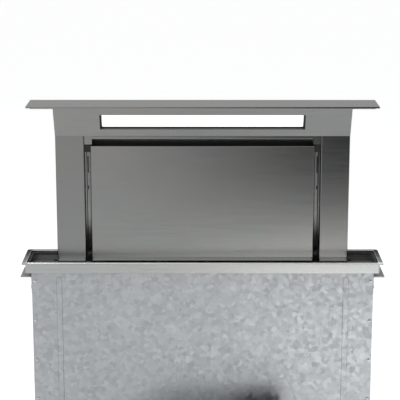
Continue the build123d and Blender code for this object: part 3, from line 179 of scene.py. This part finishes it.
# Glowing sheets that only reflections see lie in front of the panel and the columns, over the tray
# and down in its gap, so that their feet mirror light and not only dark steel: painted reflections.
# One stands over the gap and brightens the frame's front in its reflection, and a dark flag stands
# low behind the frame, for its back and ends.
gloss_card("white_sheet", black_gauze, 1.3, (0, -0.044, 0.0028), (0.745, 0.064), (-0.7, 0.3), (-0.082, -0.07),
           lying=True, one_sided=True)
for number, (x, width) in enumerate(((0, 0.566), (-0.336, 0.07), (0.336, 0.07))):
    gloss_card(f"gap_sheet_{number}", black_gauze, 0.9, (x, -0.031, -0.0068), (width, 0.04), even, even,
               lying=True, one_sided=True)
gloss_card("rim_sheet", black_gauze, 1.6, (0, -0.046, 0.013), (0.93, 0.018), (-0.9, 0.3), even,
           one_sided=True)
gloss_card("low_flag", black_gauze, 0.08, (0, 0.09, 0.016), (0.98, 0.032), even, (0.036, 0.024))


def softbox(name, place, aim, size, power):
    """Rectangular soft lamp at a place, turned to face a point."""
    data = bpy.data.lights.new(name, "AREA")
    data.shape = "RECTANGLE"
    data.size, data.size_y = size
    data.energy = power
    lamp = bpy.data.objects.new(name, data)
    lamp.location = place
    lamp.rotation_mode = "QUATERNION"
    lamp.rotation_quaternion = (Vector(aim) - Vector(place)).to_track_quat("-Z", "Y")
    scene.collection.objects.link(lamp)


softbox("key_softbox", (-2.0, -2.4, 2.8), (0, 0, 0), (1.8, 1.4), 60)
softbox("fill_softbox", (2.6, -2.0, 1.8), (0, 0, 0), (1.4, 1.4), 25)
softbox("back_softbox", (-0.6, 2.2, 3.0), (0, 0, -0.2), (2.0, 1.4), 22)

# ---- brushed stainless: cap, fascia, columns, header, front panel, channel plates, sill, frame -
# Folded from 1.2 mm stainless sheet with a horizontal satin grain, so the grain runs along X, and
# along Y on the faces that look sideways. Rolled sheet has faint warm and cool clouds in it.
grain_along, grain_across = 9, 190  # streaks in a metre
cloud_scale = 4.5


def group(name, inputs, outputs):
    """Empty shader node group with named inputs and outputs, with its two end nodes."""
    made = bpy.data.node_groups.new(name, "ShaderNodeTree")
    for label, kind, value in inputs:
        socket = made.interface.new_socket(label, in_out="INPUT", socket_type="NodeSocket" + kind)
        socket.default_value = value
    for label, kind in outputs:
        made.interface.new_socket(label, in_out="OUTPUT", socket_type="NodeSocket" + kind)
    return made, add(made, "NodeGroupInput"), add(made, "NodeGroupOutput")


def blend_colours(tree, amount, first, second):
    """Colour between two colours or sockets, by a value between 0 and 1."""
    mixed = add(tree, "Mix", data_type="RGBA")
    for key, value in (("Factor", amount), (6, first), (7, second)):
        if isinstance(value, bpy.types.NodeSocket):
            tree.links.new(value, mixed.inputs[key])
        else:
            mixed.inputs[key].default_value = (*value, 1) if isinstance(value, tuple) else value
    return mixed.outputs[2]


def span(tree, value, low, high):
    """A value that runs from 0 to 1 made to run from low to high."""
    return add(tree, "MapRange", {"Value": value, "To Min": low, "To Max": high}).outputs["Result"]


grain, grain_in, grain_out = group(
    "brushed_grain",
    [("Fineness", "Float", 1.0), ("Along Z", "Float", 0.0)],
    [("Streaks", "Float"), ("Height", "Float"), ("Clouds", "Float")],
)
place = add(grain, "TexCoord")
facing = add(grain, "SeparateXYZ", {"Vector": place.outputs["Normal"]})
slant = add(grain, "Math", {0: facing.outputs["X"]}, operation="ABSOLUTE")
sideways = combine(grain, "GREATER_THAN", slant.outputs[0], 0.7)
streaks = []
for axis in range(3):
    stretch = [grain_across] * 3
    stretch[axis] = grain_along
    scaled = add(grain, "VectorMath", {0: place.outputs["Object"], 1: stretch}, operation="MULTIPLY")
    finer = {0: scaled.outputs[0], "Scale": grain_in.outputs["Fineness"]}
    finer = add(grain, "VectorMath", finer, operation="SCALE")
    coarse = {"Vector": finer.outputs[0], "Scale": 1.0, "Detail": 4.0, "Roughness": 0.62}
    streaks.append(add(grain, "TexNoise", coarse).outputs[0])
flat = add(grain, "Mix", {"Factor": sideways, 2: streaks[0], 3: streaks[1]})
turned = add(grain, "Mix", {"Factor": grain_in.outputs["Along Z"], 2: flat.outputs[0], 3: streaks[2]})
contrast = add(grain, "MapRange", {"Value": turned.outputs[0], "From Min": 0.3, "From Max": 0.7})
grain.links.new(contrast.outputs["Result"], grain_out.inputs["Streaks"])
grain.links.new(turned.outputs[0], grain_out.inputs["Height"])
clouds = {"Vector": place.outputs["Object"], "Scale": cloud_scale, "Detail": 3.0, "Roughness": 0.55}
clouds = add(grain, "TexNoise", clouds)
soft = add(grain, "MapRange", {"Value": clouds.outputs[0], "From Min": 0.35, "From Max": 0.68})
grain.links.new(soft.outputs["Result"], grain_out.inputs["Clouds"])


def dress(slot, material):
    """Give a material to every CAD node that has the record's slot of this name."""
    for node in nodes.values():
        if node.data.materials[0].name == slot:
            node.data.materials[0] = material


def dress_nodes(material, *names):
    """Give a material to single CAD nodes."""
    for name in names:
        nodes[name].data.materials[0] = material


def brushed(name, dark, light, tint, roughness, fineness=1.0, along_z=0.0):
    """Satin sheet metal: streaks between two greys, a tint in clouds, and a fine grain in its gloss."""
    made = principled(name, light, metallic=1.0)
    tree = made.node_tree
    lines = add(tree, "Group", node_tree=grain)
    lines.inputs["Fineness"].default_value = fineness
    lines.inputs["Along Z"].default_value = along_z
    colour = blend_colours(tree, lines.outputs["Streaks"], dark, light)
    colour = blend_colours(tree, lines.outputs["Clouds"], colour, blend_colours(tree, 0.5, colour, tint))
    gloss = span(tree, lines.outputs["Streaks"], *roughness)
    relief = add(tree, "Bump", {"Height": lines.outputs["Height"], "Strength": 0.05, "Distance": 0.0004})
    feed(made, Base_Color=colour, Roughness=gloss, Normal=relief.outputs[0])
    return made


satin = (0.19, 0.198, 0.194), (0.214, 0.222, 0.217), (0.232, 0.211, 0.198), (0.22, 0.26)
dress("brushed_stainless", brushed("brushed_stainless", *satin))

# The columns are given a copy of the panel's steel, a shade darker.
column_steel = brushed(
    "column_stainless", (0.178, 0.186, 0.182), (0.196, 0.203, 0.199), (0.208, 0.195, 0.186), (0.22, 0.26)
)
dress_nodes(column_steel, "column_left", "column_right")

# The channel plates stand deep between the columns and the panel. Their colour is painted darker
# towards the foot, down to near black: painted shade in the deep channel.
channel_shade_colour, full_shade_z, shade_end_z = (0.012, 0.012, 0.012), 0.045, 0.125
channel_steel = brushed("channel_stainless", *satin)
tree = channel_steel.node_tree
bare = tree.nodes["Principled BSDF"].inputs["Base Color"].links[0].from_socket
height = add(tree, "SeparateXYZ", {"Vector": add(tree, "TexCoord").outputs["Object"]})
rise = {"Value": height.outputs["Z"], "From Min": full_shade_z, "From Max": shade_end_z}
out_of_shade = add(tree, "MapRange", rise, interpolation_type="SMOOTHERSTEP")
feed(channel_steel, Base_Color=blend_colours(tree, out_of_shade.outputs[0], channel_shade_colour, bare))
dress_nodes(channel_steel, "channel_plate_left", "channel_plate_right")

# The worktop frame and the sill have a brighter finish.
bright_stainless = brushed(
    "polished_stainless", (0.29, 0.3, 0.295), (0.345, 0.355, 0.35), (0.33, 0.32, 0.31), (0.18, 0.26)
)
dress("polished_stainless", bright_stainless)
dress_nodes(bright_stainless, "sill")

# ---- tray: dark stainless pan round the tower ---------------------------------------------------
# Deep-drawn pan under the worktop that catches spills. Its satin finish is darker, and grease and
# wiping have dulled its floor.
dark_stainless = brushed(
    "dark_stainless", (0.19, 0.196, 0.193), (0.25, 0.256, 0.25), (0.22, 0.215, 0.21), (0.34, 0.48)
)
dress("dark_stainless", dark_stainless)

# ---- galvanised steel: casing, brackets, rails, scroll housing, impeller --------------------------
# Hot-dip zinc coated sheet, bent or pressed. The zinc has cooled in flat crystals of a centimetre
# or so, each with its own grey, under a thin dull bloom.
crystal_scale = 95.0
crystal_dark, crystal_light = (0.29, 0.305, 0.315), (0.36, 0.375, 0.385)
bloom_grey = (0.39, 0.4, 0.4)
galvanised = principled("galvanised_steel", (0.33, 0.35, 0.36), metallic=0.9)
tree = galvanised.node_tree
place = add(tree, "TexCoord").outputs["Object"]
warp = add(tree, "TexNoise", {"Vector": place, "Scale": 60.0, "Detail": 2.0})
bent = add(tree, "VectorMath", {0: warp.outputs["Color"], "Scale": 0.012}, operation="SCALE")
shifted = add(tree, "VectorMath", {0: place, 1: bent.outputs[0]}, operation="ADD")
crystals = add(tree, "TexVoronoi", {"Vector": shifted.outputs[0], "Scale": crystal_scale})
each = add(tree, "SeparateColor", {"Color": crystals.outputs["Color"]})
bloom = add(tree, "TexNoise", {"Vector": place, "Scale": 9.0, "Detail": 5.0, "Roughness": 0.6})
colour = blend_colours(tree, each.outputs[0], crystal_dark, crystal_light)
dull = add(tree, "MapRange", {"Value": bloom.outputs[0], "From Min": 0.5, "From Max": 0.75, "To Max": 0.45})
colour = blend_colours(tree, dull.outputs[0], colour, bloom_grey)
feed(galvanised, Base_Color=colour, Roughness=span(tree, each.outputs[1], 0.36, 0.55))
dress("galvanised_steel", galvanised)

# ---- rubber, plastics and paint --------------------------------------------------------------------
# Gasket, seal, bushes, feet and belt are matt black rubber. The lamp frame, slide pads, gland, outlet
# and flaps are moulded in black with a fine spark-eroded skin, the control box in grey. The catches
# are enamelled black, and the motor is painted. The filter frame is given the same black, so that
# the slot over the panel looks dark: painted shade.
handling_scale = 14.0
pit_depth = 0.0005
stipple, stipple_in, stipple_out = group(
    "moulded_skin",
    [("Scale", "Float", 900.0), ("Depth", "Float", 0.1)],
    [("Tone", "Float"), ("Normal", "Vector")],
)
place = add(stipple, "TexCoord").outputs["Object"]
pits = add(stipple, "TexNoise", {"Vector": place, "Scale": stipple_in.outputs["Scale"], "Detail": 2.0})
tone = add(stipple, "TexNoise", {"Vector": place, "Scale": handling_scale, "Detail": 4.0, "Roughness": 0.6})
stipple.links.new(tone.outputs[0], stipple_out.inputs["Tone"])
relief = {"Height": pits.outputs[0], "Strength": stipple_in.outputs["Depth"], "Distance": pit_depth}
stipple.links.new(add(stipple, "Bump", relief).outputs[0], stipple_out.inputs["Normal"])


def moulded(name, dark, light, roughness, scale, depth, **sockets):
    """Moulded, cast or painted surface: a fine pitted skin, and a faint handled tone."""
    made = principled(name, light, **sockets)
    tree = made.node_tree
    skin = add(tree, "Group", node_tree=stipple)
    skin.inputs["Scale"].default_value = scale
    skin.inputs["Depth"].default_value = depth
    colour = blend_colours(tree, skin.outputs["Tone"], dark, light)
    gloss = span(tree, skin.outputs["Tone"], *roughness)
    feed(made, Base_Color=colour, Roughness=gloss, Normal=skin.outputs["Normal"])
    return made


# Black enamel for the catches, also on the filter frame as painted shade in the slot over the panel.
enamel_and_shade = moulded(
    "black_enamel", (0.006, 0.006, 0.006), (0.012, 0.012, 0.012), (0.45, 0.6), 260, 0.08,
    Specular_IOR_Level=0.3,
)
rubber = moulded("black_rubber", (0.012, 0.012, 0.013), (0.03, 0.03, 0.031), (0.68, 0.85), 500, 0.35)
black_plastic = moulded(
    "black_plastic", (0.016, 0.016, 0.017), (0.03, 0.031, 0.032), (0.42, 0.55), 1100, 0.15
)
grey_plastic = moulded("grey_plastic", (0.3, 0.31, 0.32), (0.38, 0.39, 0.4), (0.45, 0.58), 900, 0.12)
motor_paint = moulded(
    "motor_black", (0.02, 0.021, 0.023), (0.045, 0.046, 0.05), (0.3, 0.42), 700, 0.25, Coat_Weight=0.3
)
dress("black_enamel", enamel_and_shade)
dress("black_rubber", rubber)
dress("black_plastic", black_plastic)
dress("grey_plastic", grey_plastic)
dress("motor_black", motor_paint)
dress_nodes(enamel_and_shade, "panel_catches")

# ---- lamp: opal diffuser over an LED board ---------------------------------------------------------
# The diffuser is opal acrylic, lit from behind. It hides the LEDs, so it glows evenly and falls off
# a little towards its ends.
even_half, lamp_half = 0.1, 0.252
glow_middle, glow_end = (0.98, 1.0, 0.975), (0.93, 0.96, 0.925)
opal = principled("lit_diffuser", (0.93, 0.95, 0.92), roughness=0.35, Emission_Strength=1.0)
tree = opal.node_tree
place = add(tree, "SeparateXYZ", {"Vector": add(tree, "TexCoord").outputs["Object"]})
aside = add(tree, "Math", {0: place.outputs["X"]}, operation="ABSOLUTE")
falloff = add(tree, "MapRange", {"Value": aside.outputs[0], "From Min": even_half, "From Max": lamp_half})
feed(opal, Emission_Color=blend_colours(tree, falloff.outputs[0], glow_middle, glow_end))
dress("lit_diffuser", opal)

# The board behind it is white, with a pattern of tracks.
board = principled("circuit_board", (0.82, 0.83, 0.81), roughness=0.45, Coat_Weight=0.4)
tree = board.node_tree
place = add(tree, "TexCoord").outputs["Object"]
tracks = add(tree, "TexBrick", {"Vector": place, "Scale": 60.0, "Mortar Size": 0.02}, offset=0.5)
feed(board, Base_Color=blend_colours(tree, tracks.outputs["Fac"], (0.84, 0.85, 0.83), (0.74, 0.75, 0.72)))
dress("circuit_board", board)

# ---- aluminium, bronze and bright steel ------------------------------------------------------------
# Baffle filters of bright rolled aluminium, the gearmotor's die-cast body, the lift's bronze nuts
# and bushes, and its lead screws and pulley of turned steel, like the motor's shaft. The ears and
# pins of the panel's hinge are given near-black steel, so that nothing glints at the channels' dark
# feet: painted shade.
fine = 3.0
filter_aluminium = brushed(
    "filter_aluminium", (0.5, 0.51, 0.52), (0.62, 0.63, 0.64), (0.55, 0.55, 0.54), (0.28, 0.42),
    fineness=1.6, along_z=1.0,
)
bronze = brushed("bronze", (0.36, 0.24, 0.11), (0.5, 0.35, 0.17), (0.3, 0.19, 0.1), (0.3, 0.45), fine)
# Near-black steel for the hinge's ears and pins: painted shade at the channels' feet.
hinge_shade_black = brushed(
    "hinge_shade_steel", (0.02, 0.02, 0.021), (0.035, 0.035, 0.036), (0.03, 0.028, 0.026), (0.4, 0.5), fine
)
turned_steel = brushed(
    "turned_steel", (0.4, 0.4, 0.41), (0.55, 0.55, 0.56), (0.42, 0.42, 0.42), (0.2, 0.32), fine
)
cast_aluminium = moulded(
    "cast_aluminium", (0.38, 0.39, 0.4), (0.5, 0.51, 0.52), (0.4, 0.55), 420, 0.5, metallic=0.9
)
dress("filter_aluminium", filter_aluminium)
dress("bronze", bronze)
dress("turned_steel", turned_steel)
dress("cast_aluminium", cast_aluminium)
dress_nodes(hinge_shade_black, "hinge_ears", "panel_hinge_pins")

# ---- frame bead --------------------------------------------------------------------------------------
# The frame's inner edge is rolled up into a fine half-round bead, which stiffens it and stands over
# the tray's wall. It catches highlights of its own, and its steel is painted far paler than the
# satin round it: a painted highlight along the rim.
bead_reach = 0.0004  # past the tray's rim


def oblong_ring(half_x, half_y, corner, band, height, rounding):
    """Flat ring with round corners, lying on z = 0, with its upper edges rounded off."""
    bm = bmesh.new()
    bmesh.ops.create_grid(bm, x_segments=1, y_segments=1, size=1)
    bmesh.ops.scale(bm, verts=bm.verts, vec=(half_x, half_y, 1))
    corners = bm.verts[:]
    bmesh.ops.bevel(bm, geom=corners, offset=corner, segments=6, profile=0.5, affect="VERTICES", material=-1)
    middle = bm.faces[:]
    bmesh.ops.inset_region(bm, faces=middle, thickness=band, use_boundary=True, use_even_offset=True)
    bmesh.ops.delete(bm, geom=middle, context="FACES")
    raised = bmesh.ops.extrude_face_region(bm, geom=bm.faces[:])["geom"]
    raised = [part for part in raised if isinstance(part, bmesh.types.BMVert)]
    bmesh.ops.translate(bm, verts=raised, vec=(0, 0, height))
    bmesh.ops.recalc_face_normals(bm, faces=bm.faces)
    top = {vert for vert in bm.verts if vert.co.z > height / 2}
    upper = [edge for edge in bm.edges if top.issuperset(edge.verts) and edge.calc_face_angle(0) > 1]
    bmesh.ops.bevel(bm, geom=upper, offset=rounding, segments=3, profile=0.5, affect="EDGES", material=-1)
    return bm


def fitted(name, bm, material, body, crease=35):
    """Finished piece from a bmesh: smooth between creases, on its body, with a material."""
    bmesh.ops.recalc_face_normals(bm, faces=bm.faces)
    mesh = bpy.data.meshes.new(name)
    bm.to_mesh(mesh)
    bm.free()
    mesh.shade_smooth()
    mesh.set_sharp_from_angle(angle=radians(crease))
    piece = bpy.data.objects.new(name, mesh)
    mesh.materials.append(material)
    scene.collection.objects.link(piece)
    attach(piece, body)


frame_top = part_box("worktop_frame")[1].z
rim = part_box("tray_pan")[1]
bead = oblong_ring(
    rim.x + bead_reach, rim.y + bead_reach, corner=0.0066, band=0.002, height=0.001, rounding=0.0009
)
bmesh.ops.translate(bead, verts=bead.verts, vec=(0, 0, frame_top))
# Far paler steel than the frame's: a painted highlight on the bead.
bead_highlight_steel = brushed("rolled_bead", (0.78, 0.79, 0.785), (0.86, 0.87, 0.865), (0.82, 0.81, 0.8), (0.26, 0.32))
fitted("frame_bead", bead, bead_highlight_steel, "chassis")

# ---- casing fasteners ------------------------------------------------------------------------------
# The casing's sheets are held by self-tapping screws with a pressed washer: down the flanges of the
# sides, and along the base's lip. Blind rivets hold the bearing plate, the rails and the slide pads.
casing_face = 0.059
pitch = 0.122
self_tapper = {"radius": 0.0042, "height": 0.0024, "sides": 10}
blind_rivet = {"radius": 0.0034, "height": 0.0016, "sides": 10, "sink": 0.9}


def headed(bm, place, out, radius, height, sides=12, sink=0.5):
    """Head of a screw or rivet on a surface: a low dome with a hollow in its top, turned to face out."""
    blank = bmesh.ops.create_cone(
        bm, cap_ends=True, segments=sides, radius1=radius, radius2=0.86 * radius, depth=height
    )["verts"]
    faces = (face for vert in blank for face in vert.link_faces)
    crown = max(faces, key=lambda face: face.calc_center_median().z)
    made = set(blank)
    # Two steps of the dome, then the hollow, in shares of the head's radius and height.
    for inward, lift in ((0.22, 0.22), (0.26, 0.1), (0.08, -sink)):
        ring = bmesh.ops.inset_region(bm, faces=[crown], thickness=inward * radius)["faces"]
        bmesh.ops.translate(bm, verts=crown.verts, vec=(0, 0, lift * height))
        made.update(vert for face in ring for vert in face.verts)
    made = list(made)
    bmesh.ops.rotate(bm, verts=made, matrix=Vector(out).to_track_quat("Z", "Y").to_matrix())
    bmesh.ops.translate(bm, verts=made, vec=Vector(place) + Vector(out) * height * 0.5)


casing_low, casing_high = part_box("casing_side_left")
casing_half = -casing_low.x
seam_x = casing_half - 0.0075
lowest, highest = casing_low.z + 0.035, casing_high.z - 0.025
lip_z = casing_low.z + 0.008
screws = bmesh.new()
for side in (-1, 1):
    for front in (-1, 1):
        for step in range(7):
            z = lowest + step * (highest - lowest) / 6
            headed(screws, (side * seam_x, front * casing_face, z), (0, front, 0), **self_tapper)
for front in (-1, 1):
    for step in range(-3, 4):
        place = (step * pitch, front * casing_face, lip_z)
        headed(screws, place, (0, front, 0), **self_tapper)
fitted("casing_screws", screws, turned_steel, "chassis")

rivets = bmesh.new()
plate_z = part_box("bearing_plate")[0].z + 0.0015
pad_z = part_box("slide_pads")[0].z + 0.01
rail_low, rail_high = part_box("guide_rail_right")
rail_x = (rail_low.x + rail_high.x) / 2
behind_blower = (-0.25, 0.1)
for front in (-1, 1):
    for step in range(-3, 3):
        x = (step + 0.5) * pitch
        if front > 0 or not behind_blower[0] < x < behind_blower[1]:
            headed(rivets, (x, front * casing_face, plate_z), (0, front, 0), **blind_rivet)
for side in (-1, 1):
    for step in range(6):
        headed(rivets, (side * rail_x, casing_face, -0.07 - step * 0.1), (0, 1, 0), **blind_rivet)
    for y in (-0.02, 0.02):
        headed(rivets, (side * casing_half, y, pad_z), (side, 0, 0), **blind_rivet)
fitted("casing_rivets", rivets, turned_steel, "chassis")

# ---- bracket screws ---------------------------------------------------------------------------------
# Pan-head screws of bright steel. Two of them hold each angle bracket to the casing's side, through
# its upright leg.
pan_head = {"radius": 0.0048, "height": 0.003}
leg_x = casing_half + 0.0025
leg_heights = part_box("floor_brackets")[0].z + 0.032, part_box("worktop_brackets")[0].z + 0.013
bracket_screws = bmesh.new()
for side in (-1, 1):
    for y in (-0.03, 0.03):
        for z in leg_heights:
            headed(bracket_screws, (side * leg_x, y, z), (side, 0, 0), **pan_head)
fitted("bracket_screws", bracket_screws, turned_steel, "chassis")

# ---- control box ------------------------------------------------------------------------------------
# A moulded grey plastic box beside the blower, with a cable gland. Four steel screws close its lid,
# in the corners of the moulding.
corner_inset = 0.008
lid_low, lid_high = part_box("control_lid")
lid_screws = bmesh.new()
for x in (lid_low.x + corner_inset, lid_high.x - corner_inset):
    for z in (lid_low.z + corner_inset, lid_high.z - corner_inset):
        headed(lid_screws, (x, lid_low.y, z), (0, -1, 0), radius=0.0036, height=0.0018)
fitted("lid_screws", lid_screws, turned_steel, "chassis")


def bar(bm, size, middle):
    """Block of a size round a point, and its vertices."""
    made = bmesh.ops.create_cube(bm, size=1)["verts"]
    bmesh.ops.scale(bm, verts=made, vec=size)
    bmesh.ops.translate(bm, verts=made, vec=middle)
    return made


def rounded(bm, edges, offset, segments=1):
    """Round off the edges of bars."""
    bmesh.ops.bevel(
        bm, geom=edges, offset=offset, segments=segments, profile=0.5, affect="EDGES", material=-1
    )


# A moulded panel line and a grille of ribs stand on the lid.
line_inset = 0.016
grille_rib, grille_top, grille_pitch = (0.07, 0.0024, 0.0022), -0.024, 0.005
lid_middle = (lid_low + lid_high) / 2
lid_half = (lid_high - lid_low) / 2
line = oblong_ring(
    lid_half.x - line_inset, lid_half.z - line_inset,
    corner=0.006, band=0.0016, height=0.0012, rounding=0.0005,
)
bmesh.ops.rotate(line, verts=line.verts, matrix=Matrix.Rotation(pi / 2, 3, "X"))
for step in range(9):
    rib = bar(line, grille_rib, (0, 0, grille_top - step * grille_pitch))
    rounded(line, list(dict.fromkeys(edge for vert in rib for edge in vert.link_edges)), 0.0005)
bmesh.ops.translate(line, verts=line.verts, vec=(lid_middle.x, lid_low.y, lid_middle.z))
fitted("lid_grille", line, grey_plastic, "chassis")

# The gland's dome nut has grip ribs.
grips, grip_size, grip_reach = 18, (0.0018, 0.0014, 0.0115), 0.0102
gland_low, gland_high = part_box("cable_gland")
gland = (gland_low + gland_high) / 2
nut_z = gland_low.z + 0.0072
ribs = bmesh.new()
for step in range(grips):
    rib = bar(ribs, grip_size, (grip_reach, 0, nut_z))
    bmesh.ops.rotate(ribs, verts=rib, matrix=Matrix.Rotation(tau * step / grips, 3, "Z"))
bmesh.ops.translate(ribs, verts=ribs.verts, vec=(gland.x, gland.y, 0))
rounded(ribs, ribs.edges[:], 0.0003)
fitted("gland_ribs", ribs, black_plastic, "chassis")

# ---- blower -----------------------------------------------------------------------------------------
# The scroll's front plate is riveted round its rim. Four bolts hold the motor plate and eight small
# screws the adapter's flange, and the motor has ribs on its body and nuts on its tie bolts.
wheel_low, wheel_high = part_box("impeller")
wheel = (wheel_low + wheel_high) / 2
scroll_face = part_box("scroll_housing")[0].y
rim_rivets = bmesh.new()
# The rim's four arcs in millimetres: their centres aside and above the wheel's, and their radii,
# with the angles of the rivets on each.
for aside, above, reach, angles in (
    (8, -8, 100, (40, 12)),
    (-8, -8, 116, (-12, -36, -60, -84)),
    (-8, 8, 132, (-108, -132, -156)),
    (8, 8, 148, (178, 155, 132, 109, 92)),
):
    for angle in angles:
        x = wheel.x + (aside + reach * cos(radians(angle))) / 1000
        z = wheel.z + (above + reach * sin(radians(angle))) / 1000
        headed(rim_rivets, (x, scroll_face, z), (0, -1, 0), radius=0.0024, height=0.0013, sides=8, sink=0.9)
fitted("scroll_rivets", rim_rivets, turned_steel, "chassis")

plate_bolt_circle, tie_bolt_circle = 0.058, 0.0296
plate_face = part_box("motor_plate")[0].y
motor_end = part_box("blower_motor")[0].y + 0.004
motor_bolts = bmesh.new()
for quarter in range(4):
    around = radians(45 + 90 * quarter)
    bolt = wheel.x + plate_bolt_circle * cos(around), plate_face, wheel.z + plate_bolt_circle * sin(around)
    headed(motor_bolts, bolt, (0, -1, 0), radius=0.005, height=0.0034)
    around += radians(22.5)
    nut = wheel.x + tie_bolt_circle * cos(around), motor_end, wheel.z + tie_bolt_circle * sin(around)
    headed(motor_bolts, nut, (0, -1, 0), radius=0.0026, height=0.0024, sides=6, sink=0.1)
fitted("motor_bolts", motor_bolts, turned_steel, "chassis")

fins, fin_size, fin_reach = 28, (0.0046, 0.029, 0.002), 0.0452
motor_ribs = bmesh.new()
for step in range(fins):
    rib = bar(motor_ribs, fin_size, (fin_reach, plate_face - 0.0355, 0))
    bmesh.ops.rotate(motor_ribs, verts=rib, matrix=Matrix.Rotation(tau * step / fins, 3, "Y"))
rounded(motor_ribs, motor_ribs.edges[:], 0.0004)
bmesh.ops.translate(motor_ribs, verts=motor_ribs.verts, vec=(wheel.x, 0, wheel.z))
fitted("motor_ribs", motor_ribs, motor_paint, "chassis")

adapter_low, adapter_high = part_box("outlet_adapter")
mouth = Vector((adapter_low.x + 0.0015, (adapter_low.y + adapter_high.y) / 2, wheel.z + 0.1097))
flange_screws = bmesh.new()
for y, z in ((0.068, 0.028), (0.068, -0.028), (0.04, 0.0463), (0.04, -0.0463)):
    for side in (-1, 1):
        place = mouth + Vector((0, side * y, z))
        headed(flange_screws, place, (1, 0, 0), radius=0.0021, height=0.0013, sides=8)
fitted("adapter_screws", flange_screws, turned_steel, "chassis")

# ---- sill tabs ---------------------------------------------------------------------------------------
# Two tabs of the sill's own bright sheet, folded up where the channels end beside the panel. They
# close the channels' feet.
sill_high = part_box("sill")[1]
gap_inner, gap_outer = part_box("front_panel")[1].x + 0.0012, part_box("column_right")[0].x - 0.0008
tab_size = (gap_outer - gap_inner, 0.0012, 0.0042)
tabs = bmesh.new()
for side in (-1, 1):
    bar(tabs, tab_size, (side * (gap_inner + gap_outer) / 2, sill_high.y - 0.0008, sill_high.z + 0.00175))
rounded(tabs, tabs.edges[:], 0.0004, segments=2)
fitted("sill_tabs", tabs, bright_stainless, "tower")

# ---- filter handles ----------------------------------------------------------------------------------
# Each baffle filter lifts out by a folded wire bail near its top edge, held in two black clips. The
# bail lies flat in the hollow of the closed panel.
bail_below_top, clip_below_top = 0.026, 0.0165
clip_size = (0.011, 0.0052, 0.0085)
for side in ("left", "right"):
    filter_low, filter_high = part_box(f"grease_filter_{side}")
    filter_x = (filter_low.x + filter_high.x) / 2
    bail = oblong_ring(half_x=0.038, half_y=0.011, corner=0.006, band=0.0028, height=0.0026, rounding=0.0011)
    bmesh.ops.rotate(bail, verts=bail.verts, matrix=Matrix.Rotation(pi / 2, 3, "X"))
    bmesh.ops.translate(
        bail, verts=bail.verts, vec=(filter_x, filter_low.y - 0.0006, filter_high.z - bail_below_top)
    )
    fitted(f"filter_bail_{side}", bail, turned_steel, "tower")
    clips = bmesh.new()
    for x in (-0.024, 0.024):
        bar(clips, clip_size, (filter_x + x, filter_low.y - 0.0019, filter_high.z - clip_below_top))
    rounded(clips, clips.edges[:], 0.001, segments=2)
    fitted(f"filter_clips_{side}", clips, black_plastic, "tower")

# ---- tower back --------------------------------------------------------------------------------------
# The tower's back is galvanised sheet. The columns' returns lie over its edges, held by a row of
# blind rivets down each side.
top_rivet_z, rivet_pitch = 0.295, 0.085
column_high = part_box("column_right")[1]
back_rivets = bmesh.new()
for side in (-1, 1):
    for step in range(6):
        place = (side * (column_high.x - 0.009), column_high.y, top_rivet_z - rivet_pitch * step)
        headed(back_rivets, place, (0, 1, 0), radius=0.0032, height=0.001, sides=10, sink=0.9)
fitted("back_rivets", back_rivets, turned_steel, "tower")
